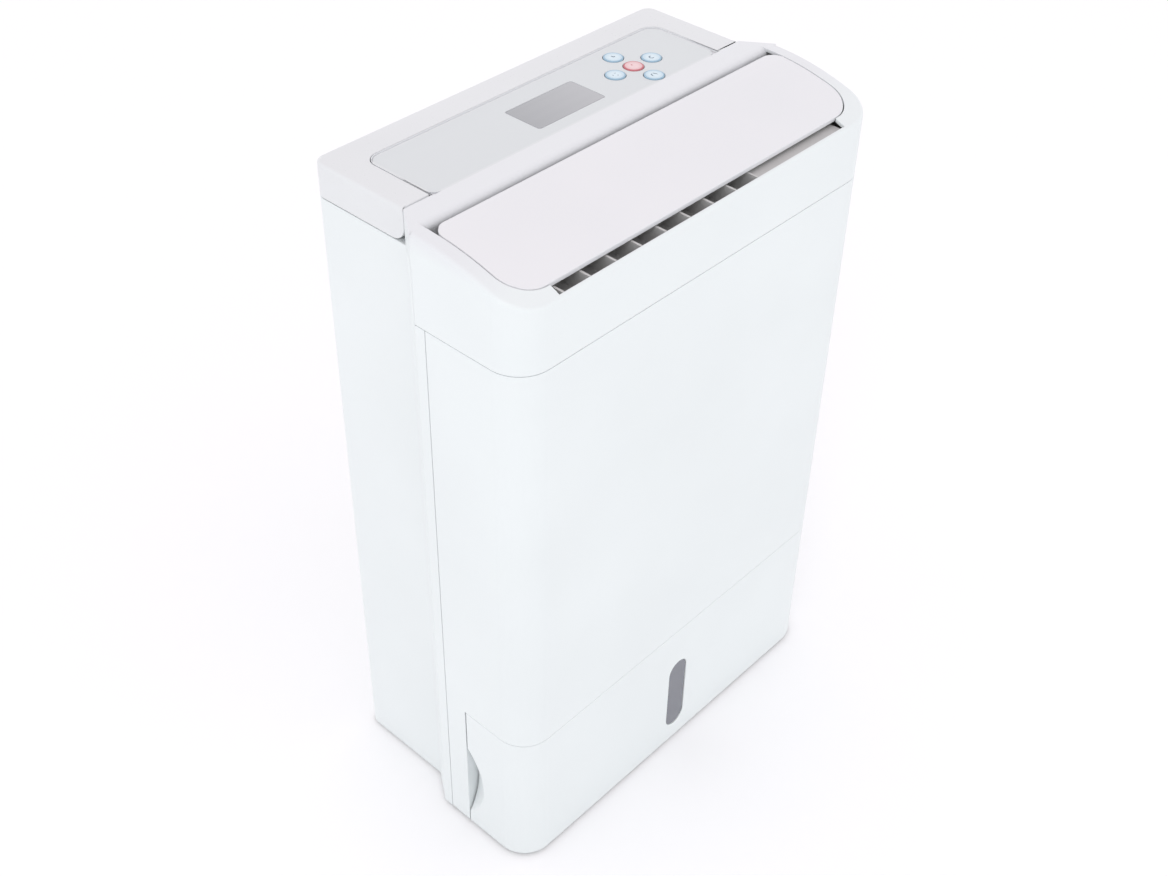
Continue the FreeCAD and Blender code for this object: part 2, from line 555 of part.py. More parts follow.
def louvre():
    """The swinging flap with its hinge lugs and sector gear, the pinion and motor that drive it, the tray."""
    sheet_block = front_rounded(both("flap_half"), ("-flap_front", "-flap_rear"),
                                ("panel_top", "case_height+9"), size("flap_front_corner"))
    doc.recompute()
    middle = sheet_block.Shape.BoundBox.Center.y
    outline = rounded(sheet_block, size("flap_rear_corner"),
                      lambda edge: is_upright(edge) and edge.Vertexes[0].Y > middle + 9
                      and edge.BoundBox.YLength < 1e-6)
    skin = common(outline, cut(crown("0"), [crown("flap_thick")]))
    lugs = []
    for place in ("swing_x-lug_set", "-swing_x+lug_set"):
        span = (f"{place}-lug_thick/2", f"{place}+lug_thick/2")
        lug = fuse([rod("X", "lug_radius", span, (HINGE_Y, HINGE_Z)),
                    block(span, (f"{HINGE_Y}-lug_radius", f"{HINGE_Y}+lug_radius"),
                          (HINGE_Z, "case_height-flap_thick+1.2"))])
        lugs.append(common(lug, crown("flap_thick*0.4")))
    reach = gear_reach("sector_teeth", "louvre_module")
    gear = gear_face(int(size("sector_teeth")), size("louvre_module"), size("lug_thick"))
    gear = turned(gear, Vector(0, 0, 1), -90)
    half = gear.common(Part.makeBox(40, 40, reach + 12, Vector(-20, -20, -reach - 10)))
    sector = feature("SectorGear", half, (size("swing_x"), -size("hinge_back"),
                     size("case_height") - size("hinge_drop")))
    neck = common(block(("swing_x", "swing_x+lug_thick"), (f"{HINGE_Y}-5", f"{HINGE_Y}+5"),
                        (HINGE_Z, "case_height")), crown("flap_thick*0.4"))
    bore = [rod("X", "hinge_pin+run_gap", both("flap_half"), (HINGE_Y, HINGE_Z))]
    part("louvre_flap", cut(fuse([skin, sector, neck] + lugs), bore, "LouvreFlap"))
    pins = [rod("X", "hinge_pin", ("swing_x-18", "swing_x+lug_thick+0.8"), (HINGE_Y, HINGE_Z)),
            rod("X", "hinge_pin", ("-swing_x-8", "18-swing_x"), (HINGE_Y, HINGE_Z))]
    part("flap_pins", fuse(pins, "FlapPins"))
    drop = gear_reach("sector_teeth", "louvre_module") + gear_reach("swing_teeth", "louvre_module")
    low_z = f"{HINGE_Z}-{drop}"
    pinion = gear_face(int(size("swing_teeth")), size("louvre_module"), size("lug_thick"))
    pinion = turned(pinion, Vector(0, 0, 1), -90)
    pinion = turned(pinion, Vector(1, 0, 0), 180.0 / size("swing_teeth"))
    teeth = feature("SwingTeeth", pinion, (size("swing_x"), -size("hinge_back"), work(low_z)))
    stub = rod("X", "hinge_pin", ("swing_x-6", "swing_x+lug_thick+1"), (HINGE_Y, low_z))
    part("swing_pinion", fuse([teeth, stub], "SwingPinion"))
    motor = rod("X", f"({low_z}-tray_top)*0.82", ("swing_x+lug_thick+1",
                                                  "swing_x+lug_thick+1+swing_motor_long"),
                (HINGE_Y, low_z))
    ear = block(("swing_x+lug_thick+1", "swing_x+lug_thick+3"), (f"{HINGE_Y}-9", "-flare_front"),
                ("tray_top", f"{low_z}-6"))
    part("swing_motor", fuse([motor, ear], "SwingMotor"))
    posts = []
    for ends in (("swing_x-15", "swing_x-12"), ("12-swing_x", "15-swing_x"), ("-swing_x-8", "-swing_x-5")):
        post = fuse([block(ends, (f"{HINGE_Y}-3", f"{HINGE_Y}+3"), ("tray_top-1", HINGE_Z)),
                     rod("X", "3", ends, (HINGE_Y, HINGE_Z))])
        eye = rod("X", "hinge_pin", (f"{ends[0]}-1", f"{ends[1]}+1"), (HINGE_Y, HINGE_Z))
        posts.append(cut(post, [eye]))
    floor = front_rounded(both("front_width/2-wall-0.5"), (f"{FRONT}+wall+0.5", "-flare_front"),
                          ("tray_top-tray_thick", "tray_top"), size("front_corner") - size("wall") - 0.5)
    rear = block(both("front_width/2-wall-8"), ("-flare_front", "wall-flare_front"),
                 ("tray_top-tray_thick", f"{SHELF}-wall"))
    mouth = block(("scroll_wall-duct_left", "duct_right-scroll_wall"), ("scroll_wall-scroll_front",
                  f"{HINGE_Y}-6"), ("tray_top-9", "tray_top+1"))
    part("louvre_tray", fuse([cut(fuse([floor, rear]), [mouth])] + posts, "LouvreTray"))


def outlet_grille():
    """Upright vanes along the outlet slot, closed off beyond the duct."""
    rail = block(both("slot_half-0.5"), (f"{FRONT}+wall+0.6", "-flap_front+14"), ("tray_top", "tray_top+2"))
    vanes = []
    for index in range(int(size("vane_count"))):
        place = f"3-slot_half+{index}*vane_pitch"
        vanes.append(block((place, f"{place}+vane_thick"), (f"{FRONT}+wall+0.6", "-flap_front+14"),
                           ("tray_top+1", "case_height-vane_drop")))
    last = "3-slot_half+(vane_count-1)*vane_pitch"
    shelf = block((last, "slot_half-0.5"), (f"{FRONT}+wall+0.6", "-flap_front+14"),
                  ("case_height-vane_drop-3.5", "case_height-vane_drop-1.5"))
    screen = block((last, "slot_half-0.5"), ("-flap_front+12", "-flap_front+14"), ("tray_top+1",
                                                                                   "case_height-vane_drop-1.5"))
    part("outlet_grille", fuse([rail, shelf, screen] + vanes, "OutletGrille"))


# ---------------------------------------------------------------- fans and drying works
def ring_wheel(blades, radius, blade_length, span, tilt, place, name):
    """Blades between two radii, each a thin slat turned by a tilt, as a list of objects."""
    made = []
    for index in range(blades):
        turn = 360.0 * index / blades
        slat = add("Part::Box", name)
        slat.Length = blade_length
        slat.Height = size("blade_thick")
        slat.Width = span[1] - span[0]
        lean = Rotation(Vector(0, 1, 0), turn + tilt)
        out = Rotation(Vector(0, 1, 0), turn).multVec(Vector(radius - blade_length, 0, 0))
        slat.Placement = FreeCAD.Placement(Vector(place[0], span[0], place[1]) + out, lean)
        made.append(slat)
    return made


def process_fan():
    """The main fan: volute and duct to the outlet, wheel, shaft and motor."""
    where = ("fan_x", "fan_z")
    rear = "scroll_rear"
    volute = rod("Y", "scroll_radius", ("-scroll_front", rear), where)
    duct = block(("-duct_left", "duct_right"), ("-scroll_front", "-flare_front"), ("fan_z",
                                                                                   "tray_top-tray_thick"))
    room = rod("Y", "scroll_radius-scroll_wall", ("scroll_wall-scroll_front", f"{rear}-scroll_wall"), where)
    duct_room = block(("scroll_wall-duct_left", "duct_right-scroll_wall"), ("scroll_wall-scroll_front",
                      "-scroll_wall-flare_front"), ("fan_z", "tray_top"))
    eye = rod("Y", "fan_inlet", (f"{rear}-9", f"{rear}+1"), where)
    nose = rod("Y", "shaft_radius+1", ("-scroll_front-1", "9-scroll_front"), where)
    part("fan_scroll", cut(fuse([volute, duct]), [room, duct_room, eye, nose], "FanScroll"))
    low, high = 7 - size("scroll_front"), size("scroll_rear") - size("wheel_set") - 1
    back = rod("Y", "fan_radius", ("6-scroll_front", "8-scroll_front"), where)
    mouth = "scroll_rear-wheel_set"
    front_ring = cut(rod("Y", "fan_radius", (f"{mouth}-2", mouth), where),
                     [rod("Y", "fan_radius-blade_chord-2", (f"{mouth}-3", f"{mouth}+1"), where)])
    hub = rod("Y", "fan_hub", ("6-scroll_front", "24-scroll_front"), where)
    blades = ring_wheel(int(size("fan_blades")), size("fan_radius") - 1.5, size("blade_chord"), (low, high),
                        32,
                        (size("fan_x"), size("fan_z")), "Blade")
    bore = rod("Y", "shaft_radius", ("-scroll_front", "30-scroll_front"), where)
    part("process_impeller", cut(fuse([back, front_ring, hub] + blades), [bore], "ProcessImpeller"))
    part("fan_shaft", rod("Y", "shaft_radius", ("-scroll_front-14", "24-scroll_front"), where, "FanShaft"))
    motor = rod("Y", "fan_motor", ("wall+1-case_depth/2", "-scroll_front"), where)
    well = rod("Y", "shaft_radius+run_gap", ("-scroll_front-14.4", "1-scroll_front"), where)
    part("process_motor", cut(motor, [well], "ProcessMotor"))


def chassis():
    """The upright plate that carries the fans and the rotor frame."""
    panel = block(both("front_width/2-20"), ("scroll_rear", "scroll_rear+2.5"), ("132", "shelf_top-wall-1"))
    eye = rod("Y", "fan_inlet", ("0", "20"), ("fan_x", "fan_z"))
    part("chassis_plate", cut(panel, [eye], "ChassisPlate"))


def drive_place():
    """Centre of the drive pinion: below and right of the rotor, at the meshing distance."""
    reach = gear_reach("rotor_teeth", "rotor_module") + gear_reach("pinion_teeth", "rotor_module")
    turn = math.radians(-45)
    return size("rotor_x") + reach * math.cos(turn), size("rotor_z") + reach * math.sin(turn)


def rotor():
    """The drying rotor with its geared rim, frame and axle, and the pinion and motor that turn it."""
    where = ("rotor_x", "rotor_z")
    rear = "rotor_front+rotor_thick"
    drive_x, drive_z = drive_place()
    tip = gear_reach("rotor_teeth", "rotor_module") + size("rotor_module")
    frame = block(both("frame_half"), ("frame_front", "frame_rear"), ("frame_low", "frame_high"))
    well = rod("Y", f"{tip}+1.6", ("frame_front-1", f"{rear}+3"), where)
    window = cut(rod("Y", "rotor_radius-2", (f"{rear}+1", "frame_rear+1"), where),
                 [block(both("frame_half"), (rear, "frame_rear+2"), ("rotor_z-spoke_half",
                                                                     "rotor_z+spoke_half")),
                  block(("rotor_x-spoke_half", "rotor_x+spoke_half"), (rear, "frame_rear+2"), ("frame_low",
                                                                                               "frame_high"))])
    pinion_well = rod("Y", "13.5", ("frame_front-1", f"{rear}+3"), (f"{drive_x}", f"{drive_z}"))
    bore = rod("Y", "axle_radius", ("frame_front", "frame_rear+1"), where)
    boss = rod("Y", "13", (f"{rear}+3", "frame_rear"), where)
    part("rotor_frame", cut(fuse([cut(frame, [well, window, pinion_well]), boss]), [bore], "RotorFrame"))
    part("rotor_axle", rod("Y", "axle_radius", ("frame_front+1", "frame_rear+1"), where, "RotorAxle"))
    wheel = rod("Y", "rotor_radius", ("rotor_front", rear), where)
    hole = rod("Y", "axle_radius+run_gap", ("rotor_front-1", f"{rear}+1"), where)
    part("rotor_wheel", cut(wheel, [hole], "RotorWheel"))
    width = size("rotor_tooth_width")
    ring = gear_face(int(size("rotor_teeth")), size("rotor_module"), width)
    ring = turned(ring, Vector(0, 1, 0), 45)
    start = size("rotor_front") + (size("rotor_thick") - width) / 2
    toothed = feature("RingTeeth", ring, (size("rotor_x"), start, size("rotor_z")))
    band = rod("Y", "rotor_radius+2", ("rotor_front", rear), where)
    core = rod("Y", "rotor_radius", ("rotor_front-1", f"{rear}+1"), where)
    part("rotor_rim_gear", cut(fuse([toothed, band]), [core], "RotorRimGear"))
    small = gear_face(int(size("pinion_teeth")), size("rotor_module"), width)
    small = turned(small, Vector(0, 1, 0), 45 + 180 + 180.0 / size("pinion_teeth"))
    teeth = feature("PinionTeeth", small, (drive_x, start, drive_z))
    shaft = rod("Y", "3", ("frame_front-3", f"{start}+{width}+2"), (f"{drive_x}", f"{drive_z}"))
    part("drive_pinion", fuse([teeth, shaft], "DrivePinion"))
    body = rod("Y", "24", ("scroll_rear+4", "frame_front-0.2"), (f"{drive_x}", f"{drive_z}"))
    socket = rod("Y", "3+run_gap", ("frame_front-3.4", "frame_front+1"), (f"{drive_x}", f"{drive_z}"))
    part("rotor_motor", cut(body, [socket], "RotorMotor"))


def heater():
    """The heater box over a sector of the rotor, its bars and a cut-out on top."""
    box = block(("heater_left", "heater_right"), ("scroll_rear+4", "frame_front-0.2"),
                ("heater_low", "heater_high"))
    room = block(("heater_left+heater_wall", "heater_right-heater_wall"),
                 ("scroll_rear+4+heater_wall", "frame_front+1"),
                 ("heater_low+heater_wall", "heater_high-heater_wall"))
    port = block(("heater_right-3", "heater_right+1"), ("scroll_rear+7", "frame_front-3"),
                 ("heater_high-32", "heater_high-4"))
    part("heater_box", cut(box, [room, port], "HeaterBox"))
    middle = "(scroll_rear+frame_front)/2"
    bars = [rod("X", "heater_bar", ("heater_left+heater_wall", "heater_right-6"),
                (f"{middle}+2", f"heater_low+12+{index}*heater_pitch"))
            for index in range(int(size("heater_bars")))]
    tie = block(("heater_right-8", "heater_right-6"), (middle, f"{middle}+4"),
                ("heater_low+10", "heater_low+14+(heater_bars-1)*heater_pitch"))
    part("heater_element", fuse(bars + [tie], "HeaterElement"))
    part("thermal_cutout", rod("Z", "cutout_radius", ("heater_high", "heater_high+6"),
                               ("heater_left+20", f"{middle}+2"), "ThermalCutout"))


def regeneration_fan():
    """The small hot-air fan: case, wheel, motor and the duct up to the heater box."""
    where = ("regen_x", "regen_z")
    outer = "regen_radius+6"
    case = rod("Y", outer, ("scroll_rear+4", "frame_front-1"), where)
    room = rod("Y", "regen_radius+4", ("scroll_rear+6", "frame_front-3"), where)
    eye = rod("Y", "regen_radius-12", ("scroll_rear+3", "scroll_rear+7"), where)
    nose = rod("Y", "3.2", ("frame_front-4", "frame_front"), where)
    exit_hole = block(("regen_x+8", "regen_x+25"), ("scroll_rear+7", "frame_front-4"),
                      ("regen_z+10", f"regen_z+{outer}+1"))
    part("regen_scroll", cut(case, [room, eye, nose, exit_hole], "RegenScroll"))
    low, high = size("scroll_rear") + 8, size("frame_front") - 5
    disc = rod("Y", "regen_radius", ("frame_front-7", "frame_front-5"), where)
    hub = rod("Y", "5", ("frame_front-12", "frame_front-5"), where)
    axle = rod("Y", "3", ("frame_front-12", "frame_front+8"), where)
    blades = ring_wheel(int(size("regen_blades")), size("regen_radius") - 1, size("regen_chord"), (low,
                                                                                                   high - 1), 30,
                        (size("regen_x"), size("regen_z")), "SmallBlade")
    part("regen_impeller", fuse([disc, hub, axle] + blades, "RegenImpeller"))
    motor = rod("Y", "14", ("frame_front-0.6", "frame_front+18"), where)
    socket = rod("Y", "3+run_gap", ("frame_front-1", "frame_front+8.4"), where)
    part("regen_motor", cut(motor, [socket], "RegenMotor"))
    rise = block(("regen_x+5", "regen_x+28"), ("scroll_rear+5", "frame_front-1"),
                 (f"regen_z+{outer}", "heater_high"))
    across = block(("heater_right", "regen_x+6"), ("scroll_rear+5", "frame_front-1"),
                   ("heater_high-34", "heater_high"))
    rise_room = block(("regen_x+7", "regen_x+26"), ("scroll_rear+7", "frame_front-3"),
                      (f"regen_z+{outer}-1", "heater_high-2"))
    across_room = block(("heater_right-1", "regen_x+8"), ("scroll_rear+7", "frame_front-3"),
                        ("heater_high-32", "heater_high-2"))
    part("regen_duct", cut(fuse([rise, across]), [rise_room, across_room], "RegenDuct"))


def condenser():
    """A row of upright tubes between two headers, and the drip tray with its spout over the tank."""
    y_mid = "frame_rear+9"
    depth = ("frame_rear+2", "frame_rear+16")
    pieces = [block(both("inlet_half+4"), depth, (low, f"{low}+12")) for low in ("inlet_low-10",
                                                                                 "inlet_high-6")]
    count = int(size("tube_count"))
    for index in range(count):
        x = f"({index}-{(count - 1) / 2})*tube_pitch"
        pieces.append(rod("Z", "tube_radius", ("inlet_low", "inlet_high-4"), (x, y_mid)))
    part("condenser", fuse(pieces, "Condenser"))
    tray = block(both("inlet_half+8"), ("frame_rear-1", "frame_rear+17"), ("drip_low", "drip_high"))
    hollow = block(both("inlet_half+6"), ("frame_rear+1", "frame_rear+15"),
                   ("drip_low+drip_wall", "drip_high+1"))
    spout = block(("-12", "12"), ("-8", "frame_rear"), ("drip_low", "drip_low+9"))
    run = block(("-10", "10"), ("-6", "frame_rear+2"), ("drip_low+drip_wall", "drip_low+10"))
    drop = rod("Z", "tube_radius", ("drip_low-1", "drip_low+drip_wall+1"), ("0", "0"))
    part("drip_tray", cut(fuse([tray, spout]), [hollow, run, drop], "DripTray"))


def electronics():
    """Main board with its larger components, and the small switches and sensors."""
    skin = "9-case_depth/2"
    board = block(("72", "front_width/2-20"), (skin, f"{skin}+board_thick"), ("200", "400"))
    lumps = [("80", "104", "30", "222"), ("108", "130", "18", "225"), ("82", "96", "16", "300"),
             ("104", "132", "24", "320"), ("80", "92", "12", "360")]
    parts = [block((left, right), (f"{skin}+board_thick", f"{skin}+board_thick+{deep}"), (low, f"{low}+26"))
             for left, right, deep, low in lumps]
    part("main_board", fuse([board] + parts, "MainBoard"))
    sensor = block(("inlet_half+10", "inlet_half+22"), ("frame_rear+6", "frame_rear+12"), ("300", "322"))
    part("humidity_sensor", sensor)
    tilt = block(("-132", "-116"), ("scroll_rear+2.5", "scroll_rear+14"), ("140", "158"), "TiltSwitch")
    part("tilt_switch", tilt)
    body = block(("-112", "-92"), ("scroll_rear-12", "scroll_rear"), ("132", "144"))
    lever = block(("-104", "-100"), ("scroll_rear-14", "scroll_rear-12"), ("120", "142"))
    part("tank_switch", fuse([body, lever], "TankSwitch"))


# ---------------------------------------------------------------- tank
def stadium(radius, y):
    """An upright slot shape through a span of Y."""
    low, high = "window_low+window_radius", "window_high-window_radius"
    return fuse([rod("Y", radius, y, ("0", low)), rod("Y", radius, y, ("0", high)),
                 block(both(radius), y, (low, high))])


def scoop(grow):
    """Two balls, one each side, that hollow the tank's sides: deepest at its rear edge, fading forwards."""
    chord = "(scoop_high-scoop_low)/2"
    mouth = f"(({chord})^2+scoop_run^2)/(2*scoop_run)"
    stand = f"(({mouth})^2-({mouth}-scoop_run)^2-scoop_depth^2)/(2*scoop_depth)"
    balls = []
    for side in ("", "-"):
        ball = add("Part::Sphere", "Scoop")
        bind(ball, Radius=f"(({mouth})^2+({stand})^2)^0.5+{grow}",
             Placement__Base__x=f"{side}(front_width/2+{stand})",
             Placement__Base__y=f"{mouth}-scoop_run-tank_seam", Placement__Base__z="(scoop_high+scoop_low)/2")
        balls.append(ball)
    return balls


def tank():
    """The pull-out tank: front skin with finger grips, bucket, level window, lid and float."""
    rear = "-tank_seam-part_gap"
    fascia = front_rounded(both(FRONT_HALF), (FRONT, rear), (SKIRT, "tank_top"), size("front_corner"))
    bucket = four_rounded(both("bucket_half"), (f"{FRONT}+wall+2", "bucket_rear"),
                          ("tank_floor", "bucket_rim"), 6)
    inner = size("front_corner") - size("wall")
    below = front_rounded(both(FRONT_HALF, "-wall"), (f"{FRONT}+wall", "0"), ("0", "bucket_rim-wall"), inner)
    above = front_rounded(both(FRONT_HALF, "-wall"), (f"{FRONT}+wall", "0"), ("bucket_rim", "case_height"),
                          inner)
    backing = common(fuse(scoop("wall")), block(both(FRONT_HALF), (FRONT, rear), (SKIRT, "tank_top")))
    shell = fuse([cut(fascia, [below, above]), bucket, backing])
    hollow = four_rounded(both("bucket_half", "-bucket_wall"), (f"{FRONT}+wall+2+bucket_wall",
                          "bucket_rear-bucket_wall"), ("tank_floor+bucket_wall", "case_height"), 4)
    grip = scoop("0")
    sight = stadium("window_radius", (f"{FRONT}-1", f"{FRONT}+wall+0.1"))
    part("tank", cut(shell, [hollow, sight] + grip, "Tank"))
    pane = fuse([stadium("(window_radius-0.15)", (f"{FRONT}+0.7", f"{FRONT}+wall")),
                 stadium("(window_radius+1.5)", (f"{FRONT}+wall+0.1", f"{FRONT}+wall+1.7"))])
    bar = stadium("(window_radius-0.4)", (f"{FRONT}+wall-0.5", f"{FRONT}+wall+1"))
    part("level_window", fuse([pane, bar], "LevelWindow"))
    lid = four_rounded(both("bucket_half-1"), (f"{FRONT}+wall+3", "bucket_rear-1"),
                       ("bucket_rim", "bucket_rim+2"), 5)
    tread = four_rounded(both("bucket_half", "-bucket_wall-0.6"), (f"{FRONT}+wall+2.6+bucket_wall",
                         "bucket_rear-bucket_wall-0.6"), ("bucket_rim-4", "bucket_rim"), 3.4)
    well = four_rounded(both("bucket_half", "-bucket_wall-2.6"), (f"{FRONT}+wall+4.6+bucket_wall",
                        "bucket_rear-bucket_wall-2.6"), ("bucket_rim-5", "bucket_rim"), 2)
    hole = rod("Z", "spout_hole", ("bucket_rim-9", "bucket_rim+9"), ("0", "0"))
    part("tank_lid", cut(fuse([lid, tread]), [well, hole], "TankLid"))
    place = ("float_x", "float_y")
    part("float_guide", rod("Z", "float_rod", ("tank_floor+bucket_wall", "bucket_rim"), place, "FloatGuide"))
    drum = rod("Z", "float_radius", ("tank_floor+bucket_wall+1", "tank_floor+bucket_wall+1+float_high"),
               place)
    slide = rod("Z", "float_rod+run_gap", ("tank_floor", "bucket_rim"), place)
    part("tank_float", cut(drum, [slide], "TankFloat"))
    magnet = rod("Z", "6", ("tank_floor+bucket_wall+1+float_high", "tank_floor+bucket_wall+4+float_high"),
                 place)
    eye = rod("Z", "3", ("tank_floor", "bucket_rim"), place)
    part("float_magnet", cut(magnet, [eye], "FloatMagnet"))


# ---------------------------------------------------------------- rear face
def rear_face():
    """Inlet grille, filter in its frame, cord outlet and drain plug."""
    panel = block(both("inlet_half", "-part_gap"), (f"{BACK}-3", BACK), ("inlet_low+part_gap",
                                                                         "inlet_high-part_gap"))
    slots = []
    for index in range(int(size("louvre_slots"))):
        low = f"inlet_low+13+{index}*slot_pitch"
        for left, right in (("grille_rim-inlet_half", "-2.5"), ("2.5", "inlet_half-grille_rim")):
            slots.append(block((left, right), (f"{BACK}-9", f"{BACK}+1"), (low, f"{low}+slot_open")))
    part("inlet_grille", cut(panel, slots, "InletGrille"))
    frame = block(both("inlet_half-2"), (f"{BACK}-8.5", f"{BACK}-3"), ("inlet_low+2", "inlet_high-2"))
    across = "(2*inlet_half-2*grille_rim+lattice_bar)/lattice_columns"
    up = "(inlet_high-inlet_low-2*grille_rim+lattice_bar)/lattice_rows"
    panes = []
    for column in range(int(size("lattice_columns"))):
        left = f"grille_rim-inlet_half+{column}*{across}"
        for row in range(int(size("lattice_rows"))):
            low = f"inlet_low+grille_rim+{row}*{up}"
            panes.append(block((left, f"{left}+{across}-lattice_bar"), (f"{BACK}-9", BACK),
                               (low, f"{low}+{up}-lattice_bar")))
    part("filter_frame", cut(frame, panes, "FilterFrame"))
    part("filter_mesh", block(both("inlet_half-3"), (f"{BACK}-9.2", f"{BACK}-8.5"),
                              ("inlet_low+3", "inlet_high-3"), "FilterMesh"))
    where = ("port_x", "port_z")
    barrel = rod("Y", "gland_radius-0.1", (f"{BACK}-10", f"{BACK}-0.2"), where)
    flange = rod("Y", "gland_radius+3", (f"{BACK}-wall-2.5", f"{BACK}-wall"), where)
    part("cord_gland", cut(fuse([barrel, flange]), [rod("Y", "cord_hole", (f"{BACK}-11", f"{BACK}+1"),
                                                        where)],
                           "CordGland"))
    where = ("-port_x", "port_z")
    plug = rod("Y", "drain_radius", (f"{BACK}-20", f"{BACK}-0.3"), where)
    pull = cut(rod("Y", "drain_radius-1.5", (f"{BACK}-6", f"{BACK}+1"), where),
               [block(("-port_x-1", "1-port_x"), (f"{BACK}-9", f"{BACK}+2"), ("0", "2*port_z"))])
    part("drain_plug", cut(plug, [pull], "DrainPlug"))


# ---------------------------------------------------------------- build and write
for build in (rear_shell, front_panel, top_cover, base_and_feet, case_screws, carry_handle, control_panel,
              louvre,
              outlet_grille, process_fan, chassis, rotor, heater, regeneration_fan, condenser, electronics,
              tank, rear_face):
    build()
doc.recompute()

for item in doc.Objects:
    if "Invalid" in item.State or "Error" in item.State:
        raise RuntimeError(f"{item.Name} ({item.Label}) did not build: {item.State}")
for node, made in PARTS:
    if made.Shape.isNull() or not made.Shape.isValid() or made.Shape.Volume <= 0:
        raise RuntimeError(f"{node} has no sound shape")

os.makedirs("parts", exist_ok=True)
for node, made in PARTS:
    made.Shape.exportStep(f"parts/{node}.step")
print(f"{len(PARTS)} sub-parts written")
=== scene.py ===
"""Slim desiccant dehumidifier: the finish of every piece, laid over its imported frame.

Frame: metres, +Z up, front towards -Y, origin on the floor under the middle of the casing.
"""
import json
import logging
import math
from dataclasses import dataclass
from enum import Enum

import bmesh
import bpy
from mathutils import Matrix, Vector


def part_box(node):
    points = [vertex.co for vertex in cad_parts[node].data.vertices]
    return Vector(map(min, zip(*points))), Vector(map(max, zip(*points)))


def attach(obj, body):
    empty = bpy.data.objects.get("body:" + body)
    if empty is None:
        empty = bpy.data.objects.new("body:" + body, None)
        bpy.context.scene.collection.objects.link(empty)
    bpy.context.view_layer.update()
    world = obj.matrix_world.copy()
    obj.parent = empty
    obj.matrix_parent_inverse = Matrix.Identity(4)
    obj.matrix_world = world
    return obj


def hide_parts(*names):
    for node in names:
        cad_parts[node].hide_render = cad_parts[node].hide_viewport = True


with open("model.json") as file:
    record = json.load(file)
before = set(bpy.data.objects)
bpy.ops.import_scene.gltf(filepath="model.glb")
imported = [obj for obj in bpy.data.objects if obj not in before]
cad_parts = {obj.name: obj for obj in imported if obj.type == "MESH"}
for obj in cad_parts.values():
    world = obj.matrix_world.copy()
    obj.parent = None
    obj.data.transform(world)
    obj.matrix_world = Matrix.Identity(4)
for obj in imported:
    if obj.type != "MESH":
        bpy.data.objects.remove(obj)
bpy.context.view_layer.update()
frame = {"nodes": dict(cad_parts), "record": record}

LOG = logging.getLogger("dehumidifier")
MM = 0.001
UP = Vector((0, 0, 1))
# noise crowds round its middle value, so a pattern is stretched from one of these ranges to 0..1
SLOW_NOISE = (0.35, 0.65)
FINE_NOISE = (0.3, 0.7)
# radians that a wave texture turns for each unit of its scaled coordinate
WAVE_RATE = 20.0
Tree = bpy.types.NodeTree
Node = bpy.types.Node
Socket = bpy.types.NodeSocket
Piece = bpy.types.Object


# ---------------------------------------------------------------- colour and nodes
def linear(code: str, alpha: float = 1.0) -> tuple[float, float, float, float]:
    """Turns an sRGB hex colour to linear light.

    Args:
        code: six hex digits.
        alpha: opacity to carry along.

    Returns:
        Linear red, green and blue, and the opacity.
    """
    levels = [int(code[start:start + 2], 16) / 255 for start in (0, 2, 4)]
    light = [level / 12.92 if level <= 0.04045 else ((level + 0.055) / 1.055) ** 2.4 for level in levels]
    return light[0], light[1], light[2], alpha


def add(tree: Tree, kind: str, settings: dict | None = None, links: dict | None = None) -> Node:
    """Adds one node with its settings and links.

    Args:
        tree: node tree that takes the node.
        kind: the node's type name.
        settings: values for sockets, by name or index, and for the node's own options.
        links: output sockets to join to this node's inputs, by name or index.

    Returns:
        The new node.
    """
    made = tree.nodes.new(kind)
    for key, value in (settings or {}).items():
        if isinstance(key, int) or key in made.inputs:
            made.inputs[key].default_value = value
        else:
            setattr(made, key, value)
    for key, source in (links or {}).items():
        tree.links.new(source, made.inputs[key])
    return made


def per_mm(size_mm: float) -> float:
    """Texture scale, on coordinates in metres, that gives features of this size in millimetres."""
    return 1.0 / (size_mm * MM)


def per_wave(period_mm: float) -> float:
    """Wave texture scale, on coordinates in metres, that repeats after this many millimetres."""
    return 2 * math.pi * per_mm(period_mm) / WAVE_RATE


def blend(tree: Tree, share: Socket, first: str, second: str) -> Socket:
    """Mixes two sRGB colours by a share.

    Args:
        tree: node tree that takes the mix.
        share: socket with 0 for the first colour and 1 for the second.
        first: sRGB hex colour.
        second: sRGB hex colour.

    Returns:
        The mixed colour's socket.
    """
    mixed = add(tree, "ShaderNodeMix", {"data_type": "RGBA", 6: linear(first), 7: linear(second)},
                {0: share})
    return mixed.outputs[2]


def spread(tree: Tree, value: Socket, low: float, high: float,
           start: float = 0.0, stop: float = 1.0) -> Socket:
    """Maps a value from start..stop onto low..high.

    Args:
        tree: node tree that takes the map.
        value: socket to read.
        low: result at start.
        high: result at stop.
        start: value that gives low.
        stop: value that gives high.

    Returns:
        The mapped value's socket.
    """
    ends = {"From Min": start, "From Max": stop, "To Min": low, "To Max": high}
    return add(tree, "ShaderNodeMapRange", ends, {"Value": value}).outputs[0]


def tint(tree: Tree, shader: Node, share: Socket, first: str, second: str) -> None:
    """Colours a shader from the first sRGB hex colour to the second, by a share."""
    tree.links.new(blend(tree, share, first, second), shader.inputs["Base Color"])


def settle(shader: Node, settings: dict[str, float]) -> None:
    """Sets a shader's own sockets, by their names."""
    for name, value in settings.items():
        shader.inputs[name].default_value = value


